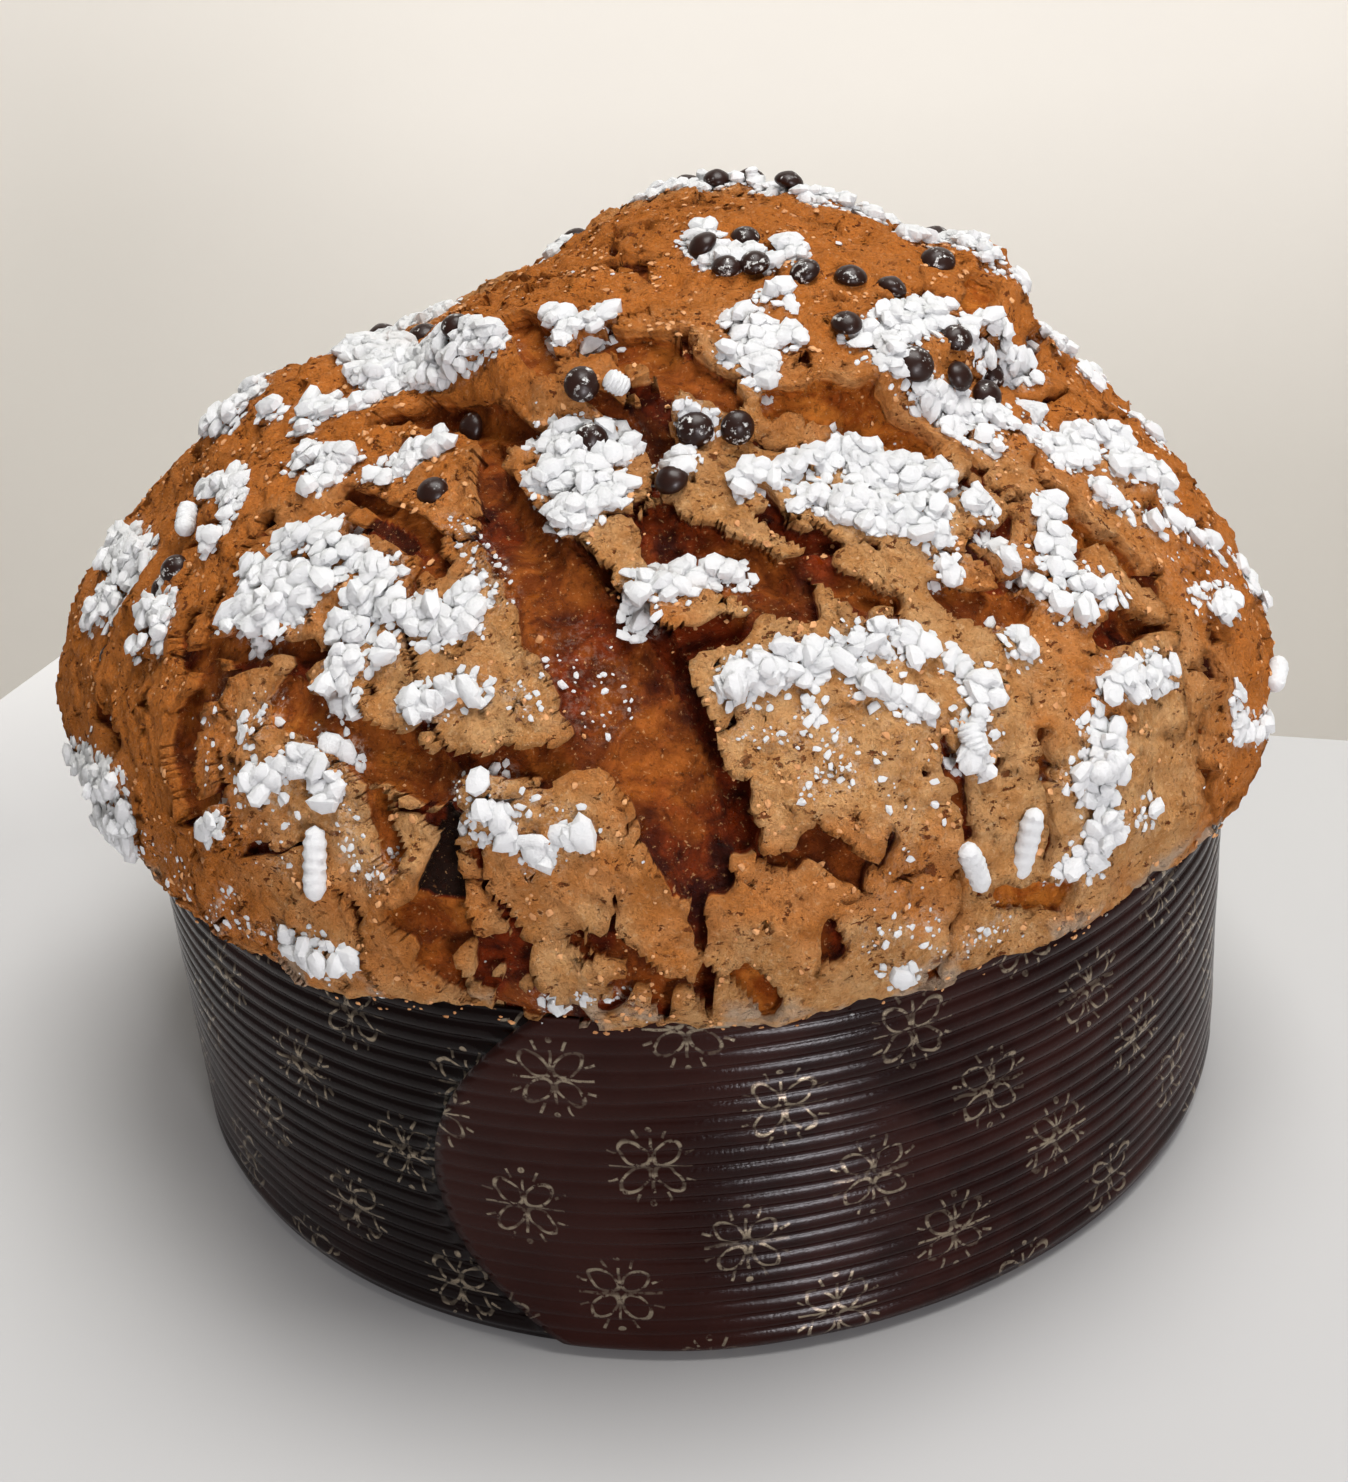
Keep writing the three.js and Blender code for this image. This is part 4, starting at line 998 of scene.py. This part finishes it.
    grit = minus(tree, noiseAt(tree, spot, 1.2, 6, 0.72), times(tree, pores, 0.8))
    normal = bumped(tree, times(tree, noiseAt(tree, spot, 3.4, 5, 0.7), glazed), 2.2)
    normal = bumped(tree, times(tree, grit, plus(tree, times(tree, glazed, 0.8), 0.2)), 2.0, normal)
    strands = noiseAt(tree, spot, 1.7, 6, 0.72, 0.6)
    normal = bumped(tree, times(tree, strands, minus(tree, 1.0, glazed)), 1.3, normal)
    tree.links.new(normal, shader.inputs["Normal"])
    return material


def sugarMaterial():
    material, tree, shader, spot = newMaterial("whiteSugar")
    chalk = noiseAt(tree, spot, 1.2, 8, 0.8)
    patchy = mottle(tree, spot, 7, 0.35, 0.65, 3)
    colour = mixColor(tree, patchy, (0.95, 0.965, 0.965), (0.985, 0.99, 0.99))
    # Grey where the chalk noise is low, in the hollows the bump sinks: painted shade in the fine cracks
    colour = mixColor(tree, ramp(tree, chalk, 0.44, 0.30), colour, (0.84, 0.87, 0.88))
    tree.links.new(colour, shader.inputs["Base Color"])
    shader.inputs["Roughness"].default_value = 0.75
    shader.inputs["Subsurface Weight"].default_value = 0.3
    shader.inputs["Subsurface Radius"].default_value = (1.0, 1.0, 1.0)
    shader.inputs["Subsurface Scale"].default_value = 0.0012
    tree.links.new(bumped(tree, chalk, 1.0), shader.inputs["Normal"])
    return material


def crumbMaterial():
    material, tree, shader, spot = newMaterial("bakedCrumb")
    patchy = mottle(tree, spot, 3, 0.35, 0.65, 3)
    colour = mixColor(tree, patchy, (0.44, 0.19, 0.065), (0.64, 0.32, 0.13))
    tree.links.new(colour, shader.inputs["Base Color"])
    shader.inputs["Roughness"].default_value = 0.75
    tree.links.new(bumped(tree, noiseAt(tree, spot, 0.7, 4), 0.3), shader.inputs["Normal"])
    return material


def chocolateMaterial():
    material, tree, shader, spot = newMaterial("darkChocolate")
    dust = mottle(tree, spot, 1.3, 0.56, 0.66, 4, 0.7)
    dust = times(tree, dust, mottle(tree, spot, 9, 0.42, 0.56, 1))
    smear = noiseAt(tree, spot, 4, 3)
    colour = mixColor(tree, smear, (0.009, 0.0025, 0.0015), (0.024, 0.007, 0.0035))
    colour = mixColor(tree, dust, colour, (0.6, 0.6, 0.58))
    tree.links.new(colour, shader.inputs["Base Color"])
    tree.links.new(plus(tree, times(tree, dust, 0.4), 0.36), shader.inputs["Roughness"])
    shader.inputs["Specular IOR Level"].default_value = 0.3
    tree.links.new(bumped(tree, smear, 0.25), shader.inputs["Normal"])
    return material


# Gold rosettes: step from one to the next in mm round the wall and up it, along two directions
rosette = {
    "first": (20.1, 9.0),
    "second": (13.3, -16.0),
    "rightStart": (-10.0, 39.0),
    "leftStart": (-50.6, 34.5),
    "petalOut": 3.5,
    "petalWidth": 1.65,
    "line": 0.2,
}


# Mask of one thin-lined rosette in every cell of the slanting lattice
def rosetteMask(tree, u, v):
    (ax, ay), (bx, by) = rosette["first"], rosette["second"]
    area = ax * by - ay * bx

    def combine(first, firstShare, second, secondShare):
        return plus(tree, times(tree, first, firstShare), times(tree, second, secondShare))

    i = math2(tree, "ROUND", combine(u, by / area, v, -bx / area))
    j = math2(tree, "ROUND", combine(v, ax / area, u, -ay / area))
    x = minus(tree, u, combine(i, ax, j, bx))
    y = minus(tree, v, combine(i, ay, j, by))
    foldX = math2(tree, "ABSOLUTE", x)
    foldY = math2(tree, "ABSOLUTE", y)

    def length(dx, dy):
        return math2(tree, "SQRT", combine(times(tree, dx, dx), 1.0, times(tree, dy, dy), 1.0))

    # Petals are long loops on the diagonals
    outward = minus(tree, combine(foldX, 0.7071, foldY, 0.7071), rosette["petalOut"])
    sideways = combine(foldX, 0.7071, foldY, -0.7071)
    loop = minus(tree, length(times(tree, outward, 0.62), sideways), rosette["petalWidth"])
    shape = minus(tree, math2(tree, "ABSOLUTE", loop), rosette["line"])
    reach = length(x, y)
    angle = math2(tree, "ARCTAN2", foldX, foldY)
    for bearing, inner, outer in ((0.0, 1.4, 5.0), (0.36, 5.4, 7.2), (1.5708, 1.8, 6.4), (1.16, 5.6, 7.2)):
        away = times(tree, math2(tree, "ABSOLUTE", minus(tree, angle, bearing)), reach)
        past = minus(tree, reach, outer)
        past = math2(tree, "MAXIMUM", minus(tree, inner, reach), past)
        stroke = math2(tree, "MAXIMUM", minus(tree, away, rosette["line"]), past)
        shape = math2(tree, "MINIMUM", shape, stroke)
    dot = length(x, minus(tree, foldY, 6.9))
    shape = math2(tree, "MINIMUM", shape, minus(tree, dot, 0.5))
    return ramp(tree, shape, 0.1, -0.1)


def caseMaterial():
    material, tree, shader, spot = newMaterial("brownCasePaper")
    overlap = painted(tree, "overlap")
    split = tree.nodes.new("ShaderNodeSeparateXYZ")
    tree.links.new(spot, split.inputs[0])
    x, y, z = split.outputs
    around = times(tree, math2(tree, "ARCTAN2", x, times(tree, y, -1.0)), 95.0)
    up = times(tree, z, 1000.0)
    # Left of the overlap the print runs the other way
    left = math2(tree, "GREATER_THAN", overlap, 180.0)
    turnedU = minus(tree, rosette["leftStart"][0], around)
    plainU = minus(tree, around, rosette["rightStart"][0])
    u = plus(tree, plainU, times(tree, left, minus(tree, turnedU, plainU)))
    upStep = rosette["rightStart"][1] - rosette["leftStart"][1]
    startUp = minus(tree, rosette["rightStart"][1], times(tree, left, upStep))
    wobble = times(tree, minus(tree, noiseAt(tree, spot, 6, 2), 0.5), 1.6)
    v = plus(tree, minus(tree, up, startUp), wobble)
    mask = rosetteMask(tree, plus(tree, u, wobble), v)
    mask = times(tree, mask, mottle(tree, spot, 1.1, 0.36, 0.54, 3, 0.6))
    rib = times(tree, minus(tree, up, case["firstRib"]), 2 * math.pi / case["ribPitch"])
    crest = ramp(tree, math2(tree, "COSINE", rib), 0.6, -0.6)
    mask = times(tree, mask, plus(tree, times(tree, crest, 0.8), 0.2))
    wall = ramp(tree, plus(tree, times(tree, x, x), times(tree, y, y)), 0.0084, 0.0086)
    mask = times(tree, mask, wall)
    grease = mottle(tree, spot, 18, 0.35, 0.65, 4, 0.6)
    paper = mixColor(tree, grease, (0.0090, 0.0018, 0.0014), (0.0210, 0.0058, 0.0045))
    flap = times(tree, ramp(tree, overlap, 30.0, 18.0), 0.6)
    paper = mixColor(tree, flap, paper, (0.020, 0.0032, 0.0014))
    shade = times(tree, ramp(tree, overlap, 315.0, 355.0), 0.9)
    paper = mixColor(tree, shade, paper, (0.002, 0.0005, 0.0004))
    colour = mixColor(tree, mask, paper, (0.29, 0.235, 0.17))
    tree.links.new(colour, shader.inputs["Base Color"])
    tree.links.new(times(tree, mask, 0.9), shader.inputs["Metallic"])
    fibre = noiseAt(tree, spot, 0.6, 4, 0.6)
    tree.links.new(plus(tree, times(tree, fibre, 0.12), 0.12), shader.inputs["Roughness"])
    shader.inputs["Specular IOR Level"].default_value = 0.13
    tree.links.new(bumped(tree, fibre, 0.05), shader.inputs["Normal"])
    return material


def floorMaterial(name, base, dark):
    material, tree, shader, spot = newMaterial(name)
    cloud = noiseAt(tree, spot, 300, 3)
    tree.links.new(mixColor(tree, cloud, base, dark), shader.inputs["Base Color"])
    shader.inputs["Roughness"].default_value = 0.45
    shader.inputs["Specular IOR Level"].default_value = 0.3
    return material


studio = {
    "tableCorner": (-0.163, 0.180),
    "backWay": (0.312, -0.098),
    "leftWay": (-0.011, -0.024),
    "wallAt": 1.3,
}


def makeStudio():
    corner = Vector((*studio["tableCorner"], 0))
    back = Vector((*studio["backWay"], 0)).normalized()
    left = Vector((*studio["leftWay"], 0)).normalized()
    outline = [corner, corner + back * 2.2, corner + back * 2.2 + left * 2.6, corner + left * 2.6]
    table = meshPiece("paleTable", outline, [(0, 3, 2, 1)])
    table.data.materials.append(floorMaterial("paleTableTop", (0.485, 0.485, 0.475), (0.45, 0.445, 0.45)))
    deselectAll()
    upright = (math.pi / 2, 0, 0)
    bpy.ops.mesh.primitive_plane_add(size=8, location=(0, studio["wallAt"], 0.8), rotation=upright)
    wall = named("backWall")
    wall.data.materials.append(floorMaterial("warmWall", (0.69, 0.66, 0.605), (0.665, 0.635, 0.59)))
    bpy.ops.mesh.primitive_plane_add(size=8, location=(0, 0, -0.75))
    ground = named("lowFloor")
    ground.data.materials.append(floorMaterial("lowFloorPaint", (0.62, 0.60, 0.58), (0.58, 0.56, 0.54)))


# Name, place, target, size in m, power in W, colour
lamps = [
    ("windowRight", (0.62, -1.95, 0.42), (0, 0, 0.06), (0.42, 0.45), 28, (0.97, 0.95, 1)),
    ("ceiling", (0.28, 0.0, 1.75), (0, 0, 0.05), (1.0, 1.0), 37, (1, 0.99, 0.97)),
    ("wallWash", (0.2, 0.3, 0.32), (0.15, 1.3, -0.3), (2.4, 0.3), 10, (1, 0.98, 0.96)),
]


def addLight(name, place, target, size, power, colour):
    light = bpy.data.lights.new(name, "AREA")
    light.shape = "RECTANGLE"
    light.size, light.size_y = size
    light.energy = power
    light.color = colour
    lamp = bpy.data.objects.new(name, light)
    bpy.context.scene.collection.objects.link(lamp)
    lamp.location = place
    lamp.rotation_euler = (Vector(target) - Vector(place)).to_track_quat("-Z", "Y").to_euler()


# Camera fitted to the photo: place in m, turns in degrees, focal length in pixels of the photo
lens = {
    "place": (0, -0.3582, 0.2545),
    "pitch": 28.7,
    "yaw": -0.35,
    "roll": -4.65,
    "focalPixels": 2250.4,
    "imageHeight": 1482.0,
    "sensorWidth": 36,
}


def lightAndCamera():
    bpy.context.scene.view_settings.view_transform = "Standard"
    for lamp in lamps:
        addLight(*lamp)
    world = bpy.data.worlds.new("roomLight")
    bpy.context.scene.world = world
    world.use_nodes = True
    sky = world.node_tree.nodes["Background"]
    sky.inputs[0].default_value = (1, 0.98, 0.96, 1)
    sky.inputs[1].default_value = 0.25

    pitch = math.radians(lens["pitch"])
    yaw = math.radians(lens["yaw"])
    roll = math.radians(lens["roll"])
    ahead = Vector((math.sin(yaw) * math.cos(pitch), math.cos(yaw) * math.cos(pitch), -math.sin(pitch)))
    right = ahead.cross(Vector((0, 0, 1))).normalized()
    above = right.cross(ahead)
    rolledRight = math.cos(roll) * right + math.sin(roll) * above
    rolledAbove = -math.sin(roll) * right + math.cos(roll) * above
    camera = bpy.data.cameras.new("camera")
    camera.sensor_width = lens["sensorWidth"]
    camera.lens = lens["focalPixels"] / lens["imageHeight"] * lens["sensorWidth"]
    camera.clip_start = 0.01
    holder = bpy.data.objects.new("camera", camera)
    bpy.context.scene.collection.objects.link(holder)
    turn = Matrix((rolledRight, rolledAbove, -ahead)).transposed()
    holder.matrix_world = Matrix.Translation(lens["place"]) @ turn.to_4x4()
    bpy.context.scene.camera = holder


def dress(piece, material, node):
    piece.data.materials.clear()
    piece.data.materials.append(material)
    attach(piece, "root")
    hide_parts(node)


dress(makeCrust(), crustMaterial(), "loaf")
whiteSugar = sugarMaterial()
dress(makeSugar(), whiteSugar, "loaf")
dress(makeSugarCrumbs(), whiteSugar, "loaf")
dress(makeGlazeCrumbs(), crumbMaterial(), "loaf")
dress(makeChips(), chocolateMaterial(), "loaf")
dress(makeCase(), caseMaterial(), "paper_case")
makeStudio()
lightAndCamera()
